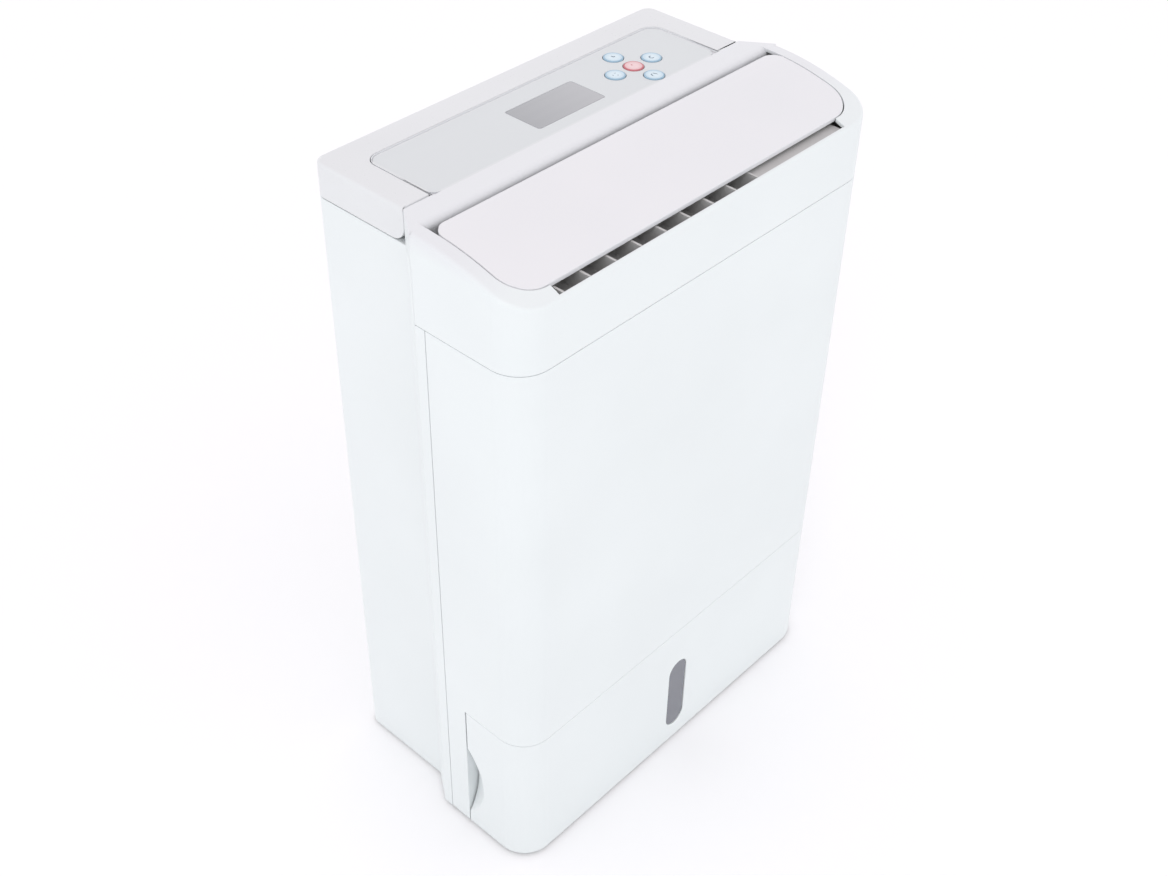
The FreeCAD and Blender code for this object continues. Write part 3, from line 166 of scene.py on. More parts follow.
# ---------------------------------------------------------------- finishes
@dataclass(frozen=True)
class Finish:
    """A surface finish, made once and shared by its pieces."""

    name: str

    def material(self) -> bpy.types.Material:
        """Gives the finish's material, building it the first time."""
        known = bpy.data.materials.get(self.name)
        if known is not None:
            return known
        made = bpy.data.materials.new(self.name)
        made.use_nodes = True
        tree = made.node_tree
        tree.nodes.clear()
        shader = add(tree, "ShaderNodeBsdfPrincipled")
        add(tree, "ShaderNodeOutputMaterial", links={"Surface": shader.outputs[0]})
        place = add(tree, "ShaderNodeTexCoord").outputs["Object"]
        self.paint(tree, shader, place)
        return made

    def paint(self, tree: Tree, shader: Node, place: Socket) -> None:
        """Sets up the shader; each kind of finish has its own way."""
        raise NotImplementedError

    def press(self, tree: Tree, shader: Node, height: Socket, depth_mm: float) -> None:
        """Presses a height pattern into the surface.

        Args:
            tree: the material's node tree.
            shader: the surface shader.
            height: pattern from 0 to 1.
            depth_mm: depth of the pattern in millimetres.
        """
        bump = add(tree, "ShaderNodeBump", {"Strength": 1.0, "Distance": depth_mm * MM}, {"Height": height})
        tree.links.new(bump.outputs[0], shader.inputs["Normal"])


@dataclass(frozen=True)
class MouldedPlastic(Finish):
    """Injection-moulded plastic: even colour, a fine spark-eroded grain and faint flow shading."""

    colour: str
    flow_colour: str
    roughness: float = 0.38
    grain_mm: float = 1.1
    grain_depth_mm: float = 0.012
    flow_mm: float = 120.0
    gloss_swing: float = 0.05
    ior: float = 1.53

    def paint(self, tree: Tree, shader: Node, place: Socket) -> None:
        """Colour from slow flow shading, sheen and bump from the mould's grain."""
        flow = add(tree, "ShaderNodeTexNoise", {"Scale": per_mm(self.flow_mm), "Detail": 2.0},
                   {"Vector": place})
        share = spread(tree, flow.outputs[0], 0.0, 1.0, *SLOW_NOISE)
        tint(tree, shader, share, self.colour, self.flow_colour)
        # the real grain is about 0.3 mm; it is drawn coarser so that it still breaks up the gloss
        grain = add(tree, "ShaderNodeTexNoise", {"Scale": per_mm(self.grain_mm), "Detail": 3.0,
                                                 "Roughness": 0.6}, {"Vector": place})
        low, high = self.roughness - self.gloss_swing, self.roughness + self.gloss_swing
        rough = spread(tree, grain.outputs[0], low, high, *FINE_NOISE)
        tree.links.new(rough, shader.inputs["Roughness"])
        settle(shader, {"IOR": self.ior})
        self.press(tree, shader, grain.outputs[0], self.grain_depth_mm)


@dataclass(frozen=True)
class CoverPlastic(MouldedPlastic):
    """The case's plastic on a part whose upper face is painted a touch darker and lilac: painted shade, as
    the top takes less light than the walls.
    """

    # painted shade: the upper face's colour, darker and lilac because the top takes less light than the walls
    top_shade_colour: str = "E0E1E4"
    start_mm: float = 0.0
    stop_mm: float = 1.0

    def paint(self, tree: Tree, shader: Node, place: Socket) -> None:
        """The plain plastic, its colour carried over with height to the painted shade of the upper face."""
        super().paint(tree, shader, place)
        plain = shader.inputs["Base Color"].links[0].from_socket
        apart = add(tree, "ShaderNodeSeparateXYZ", links={0: place})
        share = spread(tree, apart.outputs[2], 0.0, 1.0, self.start_mm * MM, self.stop_mm * MM)
        shaded_top = add(tree, "ShaderNodeMix", {"data_type": "RGBA", 7: linear(self.top_shade_colour)},
                    {0: share, 6: plain})
        tree.links.new(shaded_top.outputs[2], shader.inputs["Base Color"])


@dataclass(frozen=True)
class PrintedFilm(Finish):
    """Screen-printed polycarbonate overlay: velvet-etched, with a slightly lighter printed border."""

    colour: str
    border: str
    centre_mm: tuple[float, float]
    half_mm: tuple[float, float]
    edge_mm: float = 1.4
    edge_fade_mm: float = 0.5
    velvet_mm: float = 0.7
    velvet_depth_mm: float = 0.006
    roughness: tuple[float, float] = (0.3, 0.38)
    ior: float = 1.58

    def paint(self, tree: Tree, shader: Node, place: Socket) -> None:
        """Flat ink colour with a border near the outline and a fine velvet bump."""
        shift = (-self.centre_mm[0] * MM, -self.centre_mm[1] * MM, 0)
        middle = add(tree, "ShaderNodeMapping", {"Location": shift}, {"Vector": place})
        apart = add(tree, "ShaderNodeSeparateXYZ", links={0: middle.outputs[0]})
        reach = []
        for axis in (0, 1):
            side = add(tree, "ShaderNodeMath", {"operation": "ABSOLUTE"}, {0: apart.outputs[axis]})
            border_start = (self.half_mm[axis] - self.edge_mm) * MM
            reach.append(spread(tree, side.outputs[0], 0.0, 1.0, border_start - self.edge_fade_mm * MM,
                                border_start))
        edge = add(tree, "ShaderNodeMath", {"operation": "MAXIMUM"}, {0: reach[0], 1: reach[1]})
        tint(tree, shader, edge.outputs[0], self.colour, self.border)
        velvet = add(tree, "ShaderNodeTexNoise", {"Scale": per_mm(self.velvet_mm), "Detail": 2.0},
                     {"Vector": place})
        tree.links.new(spread(tree, velvet.outputs[0], *self.roughness), shader.inputs["Roughness"])
        settle(shader, {"IOR": self.ior})
        self.press(tree, shader, velvet.outputs[0], self.velvet_depth_mm)


@dataclass(frozen=True)
class DisplayPane(Finish):
    """Clear acrylic over a resting liquid-crystal cell: smooth mid grey that lightens across its width."""

    dark: str
    light: str
    left_mm: float
    right_mm: float
    line_mm: float = 9.42
    line_share: float = 0.06
    roughness: float = 0.12
    ior: float = 1.49
    coat: float = 0.5
    coat_roughness: float = 0.05

    def paint(self, tree: Tree, shader: Node, place: Socket) -> None:
        """Grey that lightens to the right, with faint electrode lines under a polished face."""
        apart = add(tree, "ShaderNodeSeparateXYZ", links={0: place})
        across = spread(tree, apart.outputs[0], 0.0, 1.0, self.left_mm * MM, self.right_mm * MM)
        # real electrode lines are about 0.1 mm apart; drawn as wide bands so that the cell isn't like paint
        lines = add(tree, "ShaderNodeTexWave", {"Scale": per_wave(self.line_mm), "bands_direction": "Y"},
                    {"Vector": place})
        faint = add(tree, "ShaderNodeMath", {"operation": "MULTIPLY_ADD", 1: self.line_share},
                    {0: lines.outputs[1], 2: across})
        tint(tree, shader, faint.outputs[0], self.dark, self.light)
        settle(shader, {"Roughness": self.roughness, "IOR": self.ior, "Coat Weight": self.coat,
                        "Coat Roughness": self.coat_roughness})


@dataclass(frozen=True)
class SmokedWindow(Finish):
    """Smoked polystyrene sight glass: grey-violet, glossy, a touch darker towards the bottom."""

    deep: str
    pale: str
    low_mm: float
    high_mm: float
    top_share: float = 0.8
    cloud_mm: float = 14.0
    cloud_share: float = 0.25
    roughness: float = 0.16
    ior: float = 1.59
    transmission: float = 0.15
    coat: float = 0.4
    coat_roughness: float = 0.06

    def paint(self, tree: Tree, shader: Node, place: Socket) -> None:
        """Colour by height with faint cloudiness and a polished coat."""
        apart = add(tree, "ShaderNodeSeparateXYZ", links={0: place})
        rise = spread(tree, apart.outputs[2], 0.0, self.top_share, self.low_mm * MM, self.high_mm * MM)
        cloud = add(tree, "ShaderNodeTexNoise", {"Scale": per_mm(self.cloud_mm), "Detail": 3.0},
                    {"Vector": place})
        share = add(tree, "ShaderNodeMath", {"operation": "MULTIPLY_ADD", 1: self.cloud_share},
                    {0: cloud.outputs[0], 2: rise})
        tint(tree, shader, share.outputs[0], self.deep, self.pale)
        settle(shader, {"Roughness": self.roughness, "IOR": self.ior, "Coat Weight": self.coat,
                        "Transmission Weight": self.transmission, "Coat Roughness": self.coat_roughness})


@dataclass(frozen=True)
class KeyCap(Finish):
    """Pad-printed translucent key: a pale centre inside a tinted rim, with a printed ring."""

    centre: str
    rim: str
    ring: str
    centre_mm: tuple[float, float]
    radius_mm: float
    rim_start: float = 0.45
    rim_stop: float = 0.95
    ring_inner: float = 0.88
    ring_outer: float = 0.98
    ring_fade: float = 0.06
    satin_mm: float = 0.9
    satin_depth_mm: float = 0.006
    roughness: tuple[float, float] = (0.24, 0.34)
    ior: float = 1.5

    def paint(self, tree: Tree, shader: Node, place: Socket) -> None:
        """Colours by the distance from the key's own axis, in shares of its radius."""
        shift = (-self.centre_mm[0] * MM, -self.centre_mm[1] * MM, 0)
        middle = add(tree, "ShaderNodeMapping", {"Location": shift, "vector_type": "POINT"},
                     {"Vector": place})
        level = add(tree, "ShaderNodeVectorMath", {"operation": "MULTIPLY", 1: (1, 1, 0)},
                    {0: middle.outputs[0]})
        length = add(tree, "ShaderNodeVectorMath", {"operation": "LENGTH"}, {0: level.outputs[0]})
        out = length.outputs["Value"]
        radius = self.radius_mm * MM
        rim_share = spread(tree, out, 0.0, 1.0, self.rim_start * radius, self.rim_stop * radius)
        base = blend(tree, rim_share, self.centre, self.rim)
        rise = spread(tree, out, 0.0, 1.0, (self.ring_inner - self.ring_fade) * radius,
                      self.ring_inner * radius)
        fall = spread(tree, out, 1.0, 0.0, self.ring_outer * radius,
                      (self.ring_outer + self.ring_fade) * radius)
        ring = add(tree, "ShaderNodeMath", {"operation": "MULTIPLY"}, {0: rise, 1: fall})
        inked = add(tree, "ShaderNodeMix", {"data_type": "RGBA", 7: linear(self.ring)},
                    {0: ring.outputs[0], 6: base})
        tree.links.new(inked.outputs[2], shader.inputs["Base Color"])
        satin = add(tree, "ShaderNodeTexNoise", {"Scale": per_mm(self.satin_mm), "Detail": 2.0},
                    {"Vector": place})
        tree.links.new(spread(tree, satin.outputs[0], *self.roughness), shader.inputs["Roughness"])
        settle(shader, {"IOR": self.ior})
        self.press(tree, shader, satin.outputs[0], self.satin_depth_mm)


@dataclass(frozen=True)
class Ink(Finish):
    """Pad-printing ink: thin, slightly uneven and satin."""

    colour: str
    thin: str
    speck_mm: float = 0.8
    speck_share: float = 0.5
    speck_range: tuple[float, float] = (0.4, 0.8)
    roughness: float = 0.4

    def paint(self, tree: Tree, shader: Node, place: Socket) -> None:
        """Ink that thins in speckles where the pad lifted."""
        speck = add(tree, "ShaderNodeTexNoise", {"Scale": per_mm(self.speck_mm), "Detail": 2.0},
                    {"Vector": place})
        share = spread(tree, speck.outputs[0], 0.0, self.speck_share, *self.speck_range)
        tint(tree, shader, share, self.colour, self.thin)
        settle(shader, {"Roughness": self.roughness})


@dataclass(frozen=True)
class Rubber(Finish):
    """Moulded rubber: dull, dusty and finely pitted."""

    colour: str
    dust: str
    dust_mm: float = 9.0
    dust_share: float = 0.6
    dust_range: tuple[float, float] = (0.45, 0.8)
    pit_mm: float = 0.9
    pit_depth_mm: float = 0.03
    roughness: float = 0.78
    ior: float = 1.52

    def paint(self, tree: Tree, shader: Node, place: Socket) -> None:
        """Dust in slow patches over fine pits."""
        patch = add(tree, "ShaderNodeTexNoise", {"Scale": per_mm(self.dust_mm), "Detail": 4.0},
                    {"Vector": place})
        share = spread(tree, patch.outputs[0], 0.0, self.dust_share, *self.dust_range)
        tint(tree, shader, share, self.colour, self.dust)
        pits = add(tree, "ShaderNodeTexVoronoi", {"Scale": per_mm(self.pit_mm)}, {"Vector": place})
        settle(shader, {"Roughness": self.roughness, "IOR": self.ior})
        self.press(tree, shader, pits.outputs["Distance"], self.pit_depth_mm)


class Grain(Enum):
    """How a metal surface was worked."""

    SPANGLED = "spangled"
    ROLLED = "rolled"
    TURNED = "turned"


@dataclass(frozen=True)
class Metal(Finish):
    """Bare or plated metal whose working marks show."""

    colour: str
    shade: str
    grain: Grain
    mark_mm: float
    roughness: float = 0.32
    mark_depth_mm: float = 0.01
    rolled_stretch: tuple[float, float, float] = (1.0, 1.0, 30.0)
    turned_stretch: tuple[float, float, float] = (1.0, 12.0, 1.0)

    def paint(self, tree: Tree, shader: Node, place: Socket) -> None:
        """Crystal patches, rolling streaks or turning rings in colour, gloss and height."""
        if self.grain is Grain.SPANGLED:
            marks = add(tree, "ShaderNodeTexVoronoi", {"Scale": per_mm(self.mark_mm)}, {"Vector": place})
            value = add(tree, "ShaderNodeSeparateColor", links={0: marks.outputs["Color"]}).outputs[0]
        else:
            stretch = self.rolled_stretch if self.grain is Grain.ROLLED else self.turned_stretch
            drawn = add(tree, "ShaderNodeMapping", {"Scale": stretch}, {"Vector": place})
            marks = add(tree, "ShaderNodeTexNoise", {"Scale": per_mm(self.mark_mm * 6), "Detail": 3.0},
                        {"Vector": drawn.outputs[0]})
            value = marks.outputs[0]
        tint(tree, shader, value, self.colour, self.shade)
        rough = spread(tree, value, self.roughness - 0.08, self.roughness + 0.1)
        tree.links.new(rough, shader.inputs["Roughness"])
        settle(shader, {"Metallic": 1.0})
        self.press(tree, shader, value, self.mark_depth_mm)


@dataclass(frozen=True)
class Honeycomb(Finish):
    """Zeolite-coated corrugated paper: a face of small open cells, painted dark inside as the shade down
    their channels.
    """

    wall: str
    # painted shade: the cells' dark colour stands for the shade down the open channels
    cell: str
    cell_mm: float = 2.2
    cell_depth_mm: float = 0.4
    wall_range: tuple[float, float] = (0.08, 0.26)
    roughness: float = 0.9

    def paint(self, tree: Tree, shader: Node, place: Socket) -> None:
        """Cells painted dark as the shade down their channels, in pale walls, set on the wheel's face."""
        face = add(tree, "ShaderNodeVectorMath", {"operation": "MULTIPLY", 1: (1, 0, 1)}, {0: place})
        cells = add(tree, "ShaderNodeTexVoronoi",
                    {"Scale": per_mm(self.cell_mm), "Randomness": 0.25, "feature": "DISTANCE_TO_EDGE"},
                    {"Vector": face.outputs[0]})
        deep = spread(tree, cells.outputs[0], 0.0, 1.0, *self.wall_range)
        tint(tree, shader, deep, self.wall, self.cell)
        settle(shader, {"Roughness": self.roughness})
        raised = spread(tree, cells.outputs[0], 1.0, 0.0, *self.wall_range)
        self.press(tree, shader, raised, self.cell_depth_mm)


@dataclass(frozen=True)
class SolderMask(Finish):
    """Circuit board under green solder mask, with copper tracks showing as paler lines."""

    mask: str
    track: str
    pitch_mm: float = 3.0
    track_width: float = 0.06
    track_depth_mm: float = 0.05
    roughness: float = 0.25

    def paint(self, tree: Tree, shader: Node, place: Socket) -> None:
        """Straight tracks from a brick pattern under a glossy mask."""
        mask = linear(self.mask)
        # a brick is half a unit long, so one unit is two pitches
        tracks = add(tree, "ShaderNodeTexBrick",
                     {"Scale": per_mm(self.pitch_mm * 2), "Mortar Size": self.track_width,
                      "Color1": mask, "Color2": mask, "Mortar": linear(self.track)}, {"Vector": place})
        tree.links.new(tracks.outputs[0], shader.inputs["Base Color"])
        settle(shader, {"Roughness": self.roughness})
        self.press(tree, shader, tracks.outputs[1], self.track_depth_mm)


@dataclass(frozen=True)
class WovenMesh(Finish):
    """Woven nylon filter cloth: square openings, painted near black as the shade behind the cloth, between
    round threads.
    """

    thread: str
    # painted shade: the near black seen through the openings
    gap_shade: str
    pitch_mm: float = 10.05
    thread_range: tuple[float, float] = (0.45, 0.75)
    thread_depth_mm: float = 0.25
    roughness: float = 0.6
    sheen: float = 0.2

    def paint(self, tree: Tree, shader: Node, place: Socket) -> None:
        """Threads both ways from two wave patterns, with painted shade in the openings between them."""
        # real threads are about 1 mm apart; drawn ten times as coarse so that they show behind the grille
        waves = [add(tree, "ShaderNodeTexWave", {"Scale": per_wave(self.pitch_mm), "bands_direction": way},
                     {"Vector": place}).outputs[1] for way in ("X", "Z")]
        cloth = add(tree, "ShaderNodeMath", {"operation": "MAXIMUM"}, {0: waves[0], 1: waves[1]})
        share = spread(tree, cloth.outputs[0], 0.0, 1.0, *self.thread_range)
        tint(tree, shader, share, self.gap_shade, self.thread)
        settle(shader, {"Roughness": self.roughness, "Sheen Weight": self.sheen})
        self.press(tree, shader, cloth.outputs[0], self.thread_depth_mm)


@dataclass(frozen=True)
class FoamBeads(Finish):
    """Moulded polystyrene foam: rounded beads pressed together."""

    colour: str
    seam: str
    bead_mm: float = 3.0
    seam_reach: float = 0.12
    round_reach: float = 0.3
    round_depth_mm: float = 0.15
    roughness: float = 0.7

    def paint(self, tree: Tree, shader: Node, place: Socket) -> None:
        """Beads from cell distances, darker at their seams."""
        beads = add(tree, "ShaderNodeTexVoronoi",
                    {"Scale": per_mm(self.bead_mm), "feature": "DISTANCE_TO_EDGE"}, {"Vector": place})
        share = spread(tree, beads.outputs[0], 1.0, 0.0, 0.0, self.seam_reach)
        tint(tree, shader, share, self.colour, self.seam)
        settle(shader, {"Roughness": self.roughness})
        height = spread(tree, beads.outputs[0], 0.0, 1.0, 0.0, self.round_reach)
        self.press(tree, shader, height, self.round_depth_mm)


CASE_TONES = ("E1E5E6", "E4E8E9")
COVER_TOP_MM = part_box("top_cover")[1].z / MM
# cool white ABS of the case walls: satin, so that wide faces stay calm and edges pick up a soft light
SHELL_WHITE = MouldedPlastic("moulded_abs_cool_white", *CASE_TONES)
# the cover: walls like the case's, and an upper face painted a touch darker and lilac, as painted shade where
# the top takes less light
COVER_WHITE = CoverPlastic("moulded_abs_cover_white", *CASE_TONES, start_mm=COVER_TOP_MM - 12,
                           stop_mm=COVER_TOP_MM - 2)
# the flap is all upper face, so its colour is painted shade all over: the case white a touch darker and lilac
FLAP_WHITE = MouldedPlastic("moulded_abs_lilac_white", "E1E1E4", "E4E3E6", roughness=0.34)
# the handle comes from its own mould and is a little greyer all over
HANDLE_WHITE = MouldedPlastic("moulded_abs_handle_white", "DBDCDE", "DEDFE1", roughness=0.32)
# talc-filled polypropylene of inner mouldings: waxy mid grey
INNER_GREY = MouldedPlastic("moulded_pp_grey", "8B8985", "95938E", roughness=0.5, flow_mm=40)
# pale grey polypropylene of the outlet's sill and vanes
VANE_GREY = MouldedPlastic("moulded_pp_pale_grey", "BCBBBA", "C2C1C0", roughness=0.45, flow_mm=60)
# black ABS: fans, switch bodies and gears, slightly shiny
INNER_BLACK = MouldedPlastic("moulded_abs_black", "1D1E20", "25262A", roughness=0.42, flow_mm=30)
# natural acetal of the running gears: milky and slick
GEAR_WHITE = MouldedPlastic("machined_acetal_natural", "DAD8CF", "E2E0D8", roughness=0.28, flow_mm=20)
# natural polypropylene of lid, trays and condenser: milky and slightly cloudy
MILKY = MouldedPlastic("moulded_pp_natural", "C9CDCE", "D6D9D9", roughness=0.4, flow_mm=50)
# nitrile rubber of feet and gland: matt black with dust
RUBBER = Rubber("moulded_nitrile_rubber", "1B1B1D", "3A3B3D")
# zinc-plated steel: blue-grey crystal patches
ZINC = Metal("zinc_plated_steel", "A9ADB3", "8E9399", Grain.SPANGLED, 2.5)
# ground steel shafts: fine rings round the axis
GROUND = Metal("ground_steel", "B4B6B9", "9A9DA1", Grain.TURNED, 0.8, 0.25)
# rolled aluminium sheet of the hot air ducts: soft streaks
ROLLED = Metal("rolled_aluminium", "C6C8CA", "AFB1B4", Grain.ROLLED, 1.2, 0.36)
# oxidised nickel-chrome heater bars: straw and blue-brown patches
OXIDE = Metal("oxidised_heater_alloy", "8A7560", "5A5563", Grain.SPANGLED, 6.0, 0.5)
# zeolite honeycomb: chalky walls round open cells painted dark as shade
ZEOLITE = Honeycomb("zeolite_honeycomb", "CFC8B4", "4A463C")
# glass-fibre board: glossy green with paler tracks
BOARD = SolderMask("fr4_solder_mask", "14542F", "2E7A45")
# dust filter: dark grey cloth, with painted shade in its openings
CLOTH = WovenMesh("woven_nylon_mesh", "5A5C5E", "141516")
# float: white beads
FOAM = FoamBeads("moulded_foam_beads", "E9E9E6", "B9B9B4")
# ferrite magnet: near black, chalky
FERRITE = Rubber("sintered_ferrite", "2A2A2C", "47474A")


# ---------------------------------------------------------------- mesh helpers
# faces that meet at less than this are shaded as one
SMOOTH_DEGREES = 42.0
# faces that meet at less than this lie in one plane
FLAT_DEGREES = 0.5
# corners closer than these are one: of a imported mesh, of a rounded one, and at the pole of a turned one
PACKED_WELD_MM = 0.002
ROUNDED_WELD_MM = 0.004
TURNED_WELD_MM = 0.001


@dataclass(frozen=True)
class Easing:
    """How far a moulding's sharp edges are rounded off, and which of them."""

    width_mm: float
    steps: int = 3
    sharp_degrees: float = 30.0
    keep_pairs: bool = False
    least_face_mm2: float = 0.0


def middle_of(node: str) -> Vector:
    """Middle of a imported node's box."""
    low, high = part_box(node)
    return (low + high) / 2


def finish_piece(shape: bmesh.types.BMesh, name: str, finish: Finish, body: str) -> Piece:
    """Turns a mesh in the making into a smooth-shaded piece that rides on a body.

    Args:
        shape: mesh in the making; it is freed.
        name: the piece's name.
        finish: surface finish.
        body: body that the piece moves with.

    Returns:
        The finished piece.
    """
    mesh = bpy.data.meshes.new(name)
    shape.to_mesh(mesh)
    shape.free()
    mesh.materials.append(finish.material())
    mesh.polygons.foreach_set("use_smooth", [True] * len(mesh.polygons))
    mesh.set_sharp_from_angle(angle=math.radians(SMOOTH_DEGREES))
    piece = bpy.data.objects.new(name, mesh)
    bpy.context.scene.collection.objects.link(piece)
    weigh = piece.modifiers.new("even_normals", "WEIGHTED_NORMAL")
    weigh.keep_sharp = True
    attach(piece, body)
    LOG.info("%s: %d faces on %s", name, len(mesh.polygons), body)
    return piece


def eased_copy(node: str, easing: Easing) -> bmesh.types.BMesh:
    """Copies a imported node's mesh, clears its flat faces and rounds its sharp outer edges.

    Args:
        node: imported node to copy.
        easing: how far the edges are rounded.

    Returns:
        A mesh in the making.
    """
    shape = bmesh.new()
    shape.from_mesh(frame["nodes"][node].data)
    bmesh.ops.remove_doubles(shape, verts=shape.verts, dist=PACKED_WELD_MM * MM)
    flat = math.radians(FLAT_DEGREES)
    if easing.keep_pairs:
        # wide walls with many openings are only paired up, as faces with long bridges don't bevel well
        bmesh.ops.join_triangles(shape, faces=shape.faces, angle_face_threshold=flat,
                                 angle_shape_threshold=math.pi)
    else:
        bmesh.ops.dissolve_limit(shape, angle_limit=flat, use_dissolve_boundaries=False,
                                 verts=shape.verts, edges=shape.edges)
    limit = math.radians(easing.sharp_degrees)
    least_face = easing.least_face_mm2 * MM * MM
    sharp = [edge for edge in shape.edges
             if edge.is_manifold and edge.is_convex and edge.calc_face_angle() > limit
             and min(face.calc_area() for face in edge.link_faces) > least_face]
    bmesh.ops.bevel(shape, geom=sharp, offset=easing.width_mm * MM, offset_type="OFFSET",
                    segments=easing.steps, profile=0.5, affect="EDGES", clamp_overlap=False,
                    loop_slide=True, material=-1)
    bmesh.ops.remove_doubles(shape, verts=shape.verts, dist=ROUNDED_WELD_MM * MM)
    # where slanted edges meet, a round can push a corner out, so each is held inside the node's own box
    low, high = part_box(node)
    for vertex in shape.verts:
        vertex.co = Vector([min(max(place, least), most)
                            for place, least, most in zip(vertex.co, low, high)])
    return shape


def body_with(node: str) -> str:
    """Body that a node belongs to."""
    return next(body for body, nodes in frame["record"]["behaviour"]["bodies"].items() if node in nodes)


def ease(node: str, name: str, finish: Finish, easing: Easing) -> Piece:
    """Replaces a node by a copy with rounded edges.

    Args:
        node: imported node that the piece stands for.
        name: the piece's name.
        finish: surface finish.
        easing: how far the edges are rounded.

    Returns:
        The new piece.
    """
    piece = finish_piece(eased_copy(node, easing), name, finish, body_with(node))
    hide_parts(node)
    return piece


def dress(node: str, finish: Finish) -> None:
    """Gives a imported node, kept as it is, its finish."""
    target = frame["nodes"][node]
    if not target.material_slots:
        target.data.materials.append(finish.material())
    for slot in target.material_slots:
        slot.material = finish.material()
    LOG.info("%s: %s", node, finish.name)


def turn_body(shape: bmesh.types.BMesh, outline: list[tuple[float, float]], foot: Vector, steps: int) -> None:
    """Spins an outline about an upright axis into a closed round body.

    Args:
        shape: mesh in the making that takes the body.
        outline: radius and height pairs, in metres, from the lower pole to the upper one.
        foot: point on the axis that heights start from.
        steps: number of segments round.
    """
    points = [shape.verts.new(foot + Vector((radius, 0, height))) for radius, height in outline]
    edges = [shape.edges.new(pair) for pair in zip(points, points[1:])]
    bmesh.ops.spin(shape, geom=points + edges, cent=foot, axis=UP, angle=2 * math.pi, steps=steps,
                   use_merge=True, dvec=(0, 0, 0))
    bmesh.ops.remove_doubles(shape, verts=shape.verts, dist=TURNED_WELD_MM * MM)
    bmesh.ops.recalc_face_normals(shape, faces=shape.faces)


def quarter(radius: float, top: float, size: float, steps: int = 5) -> list[tuple[float, float]]:
    """Points of a rounded outer corner, from the side up to the top face.

    Args:
        radius: radius of the side that it starts on.
        top: height of the top face.
        size: size of the round.
        steps: number of segments.

    Returns:
        Radius and height pairs.
    """
    turns = [math.pi / 2 * step / steps for step in range(steps + 1)]
    return [(radius - size + size * math.cos(turn), top - size + size * math.sin(turn)) for turn in turns]


# ---------------------------------------------------------------- casing
@dataclass
class Casing:
    """Outer mouldings that the works sit in, with feet, screws, gland and drain plug."""

    panel_ease: Easing = Easing(0.35)
    shell_ease: Easing = Easing(0.35, keep_pairs=True)
    cover_ease: Easing = Easing(0.45, keep_pairs=True)
    base_ease: Easing = Easing(0.3, 2)
    screw_ease: Easing = Easing(0.15, 2)
    gland_ease: Easing = Easing(0.5)
    plug_ease: Easing = Easing(0.4)
    foot_groove_mm: float = 0.8
    # the groove's lower edge, floor and upper edge, as shares of the foot's height
    foot_groove_shares: tuple[float, ...] = (0.45, 0.55, 0.7, 0.8)
    foot_rim_share: float = 0.3
    foot_steps: int = 32

    def build(self) -> None:
        """Makes every outer piece of the casing."""
        ease("rear_shell", "case_rear", SHELL_WHITE, self.shell_ease)
        ease("front_panel", "case_front", SHELL_WHITE, self.panel_ease)
        ease("top_cover", "deck_cover", COVER_WHITE, self.cover_ease)
        ease("base_tray", "base_pan", INNER_GREY, self.base_ease)
        ease("case_screws", "back_screws", ZINC, self.screw_ease)
        ease("cord_gland", "lead_gland", RUBBER, self.gland_ease)
        ease("drain_plug", "drain_cap", RUBBER, self.plug_ease)
        self.feet()

    def feet(self) -> None:
        """Four turned feet, each with a groove round its side and a soft lower rim."""
        low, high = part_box("rubber_feet")
        radius = self.foot_radius()
        outline = self.foot_outline(radius, high.z - low.z)
        feet = bmesh.new()
        for x in (low.x + radius, high.x - radius):
            for y in (low.y + radius, high.y - radius):
                turn_body(feet, outline, Vector((x, y, low.z)), self.foot_steps)
        piece = finish_piece(feet, "standing_feet", RUBBER, "casing")
        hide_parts("rubber_feet")

    def foot_radius(self) -> float:
        """Radius of one foot, from the points of the left pair."""
        low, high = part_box("rubber_feet")
        middle = (low + high) / 2
        left = [vertex.co.x for vertex in frame["nodes"]["rubber_feet"].data.vertices
                if vertex.co.x < middle.x]
        return (max(left) - low.x) / 2

    def foot_outline(self, radius: float, height: float) -> list[tuple[float, float]]:
        """Outline of one foot: lower rim, side with its groove, and flat top.

        Args:
            radius: radius of the foot.
            height: height of the foot.

        Returns:
            Radius and height pairs, from the lower pole to the upper one.
        """
        groove = self.foot_groove_mm * MM
        waist = radius - groove
        rim = [(0, 0), (waist - groove, 0), (waist, self.foot_rim_share * groove), (radius, groove)]
        side = [(reach, share * height)
                for reach, share in zip((radius, waist, waist, radius), self.foot_groove_shares)]
        return rim + side + [(radius, height), (0, height)]


@dataclass
class CarryHandle:
    """Fold-up handle that lies flush round the deck."""

    edge: Easing = Easing(0.4)

    def build(self) -> None:
        """Makes the handle and finishes its pins."""
        ease("carry_handle", "fold_handle", HANDLE_WHITE, self.edge)
        dress("handle_pins", GROUND)


class Symbol(Enum):
    """Plain signs printed on the keys, by the key's node."""

    POWER = "power_key"
    CLOCK = "timer_key"
    BREEZE = "fan_key"
    SWING = "swing_key"
    DROP = "humidity_key"


@dataclass(frozen=True)
class Arc:
    """Printed arc of a sign: millimetres from the key's middle, degrees from +X."""

    radius_mm: float
    start: float
    stop: float
    at_mm: tuple[float, float] = (0.0, 0.0)


@dataclass(frozen=True)
class Bar:
    """Printed bar of a sign: millimetres from the key's middle, degrees from +X."""

    length_mm: float
    lean: float
    at_mm: tuple[float, float] = (0.0, 0.0)


def breeze_blade(turn: float, hub_mm: float = 1.6, curve_mm: float = 1.5) -> Arc:
    """One curved blade of the fan sign.

    Args:
        turn: way in which the blade is set out, in degrees from +X.
        hub_mm: how far out its centre is.
        curve_mm: radius of its curve.

    Returns:
        The blade's arc.
    """
    way = math.radians(turn)
    return Arc(curve_mm, turn - 60, turn + 120, (hub_mm * math.cos(way), hub_mm * math.sin(way)))


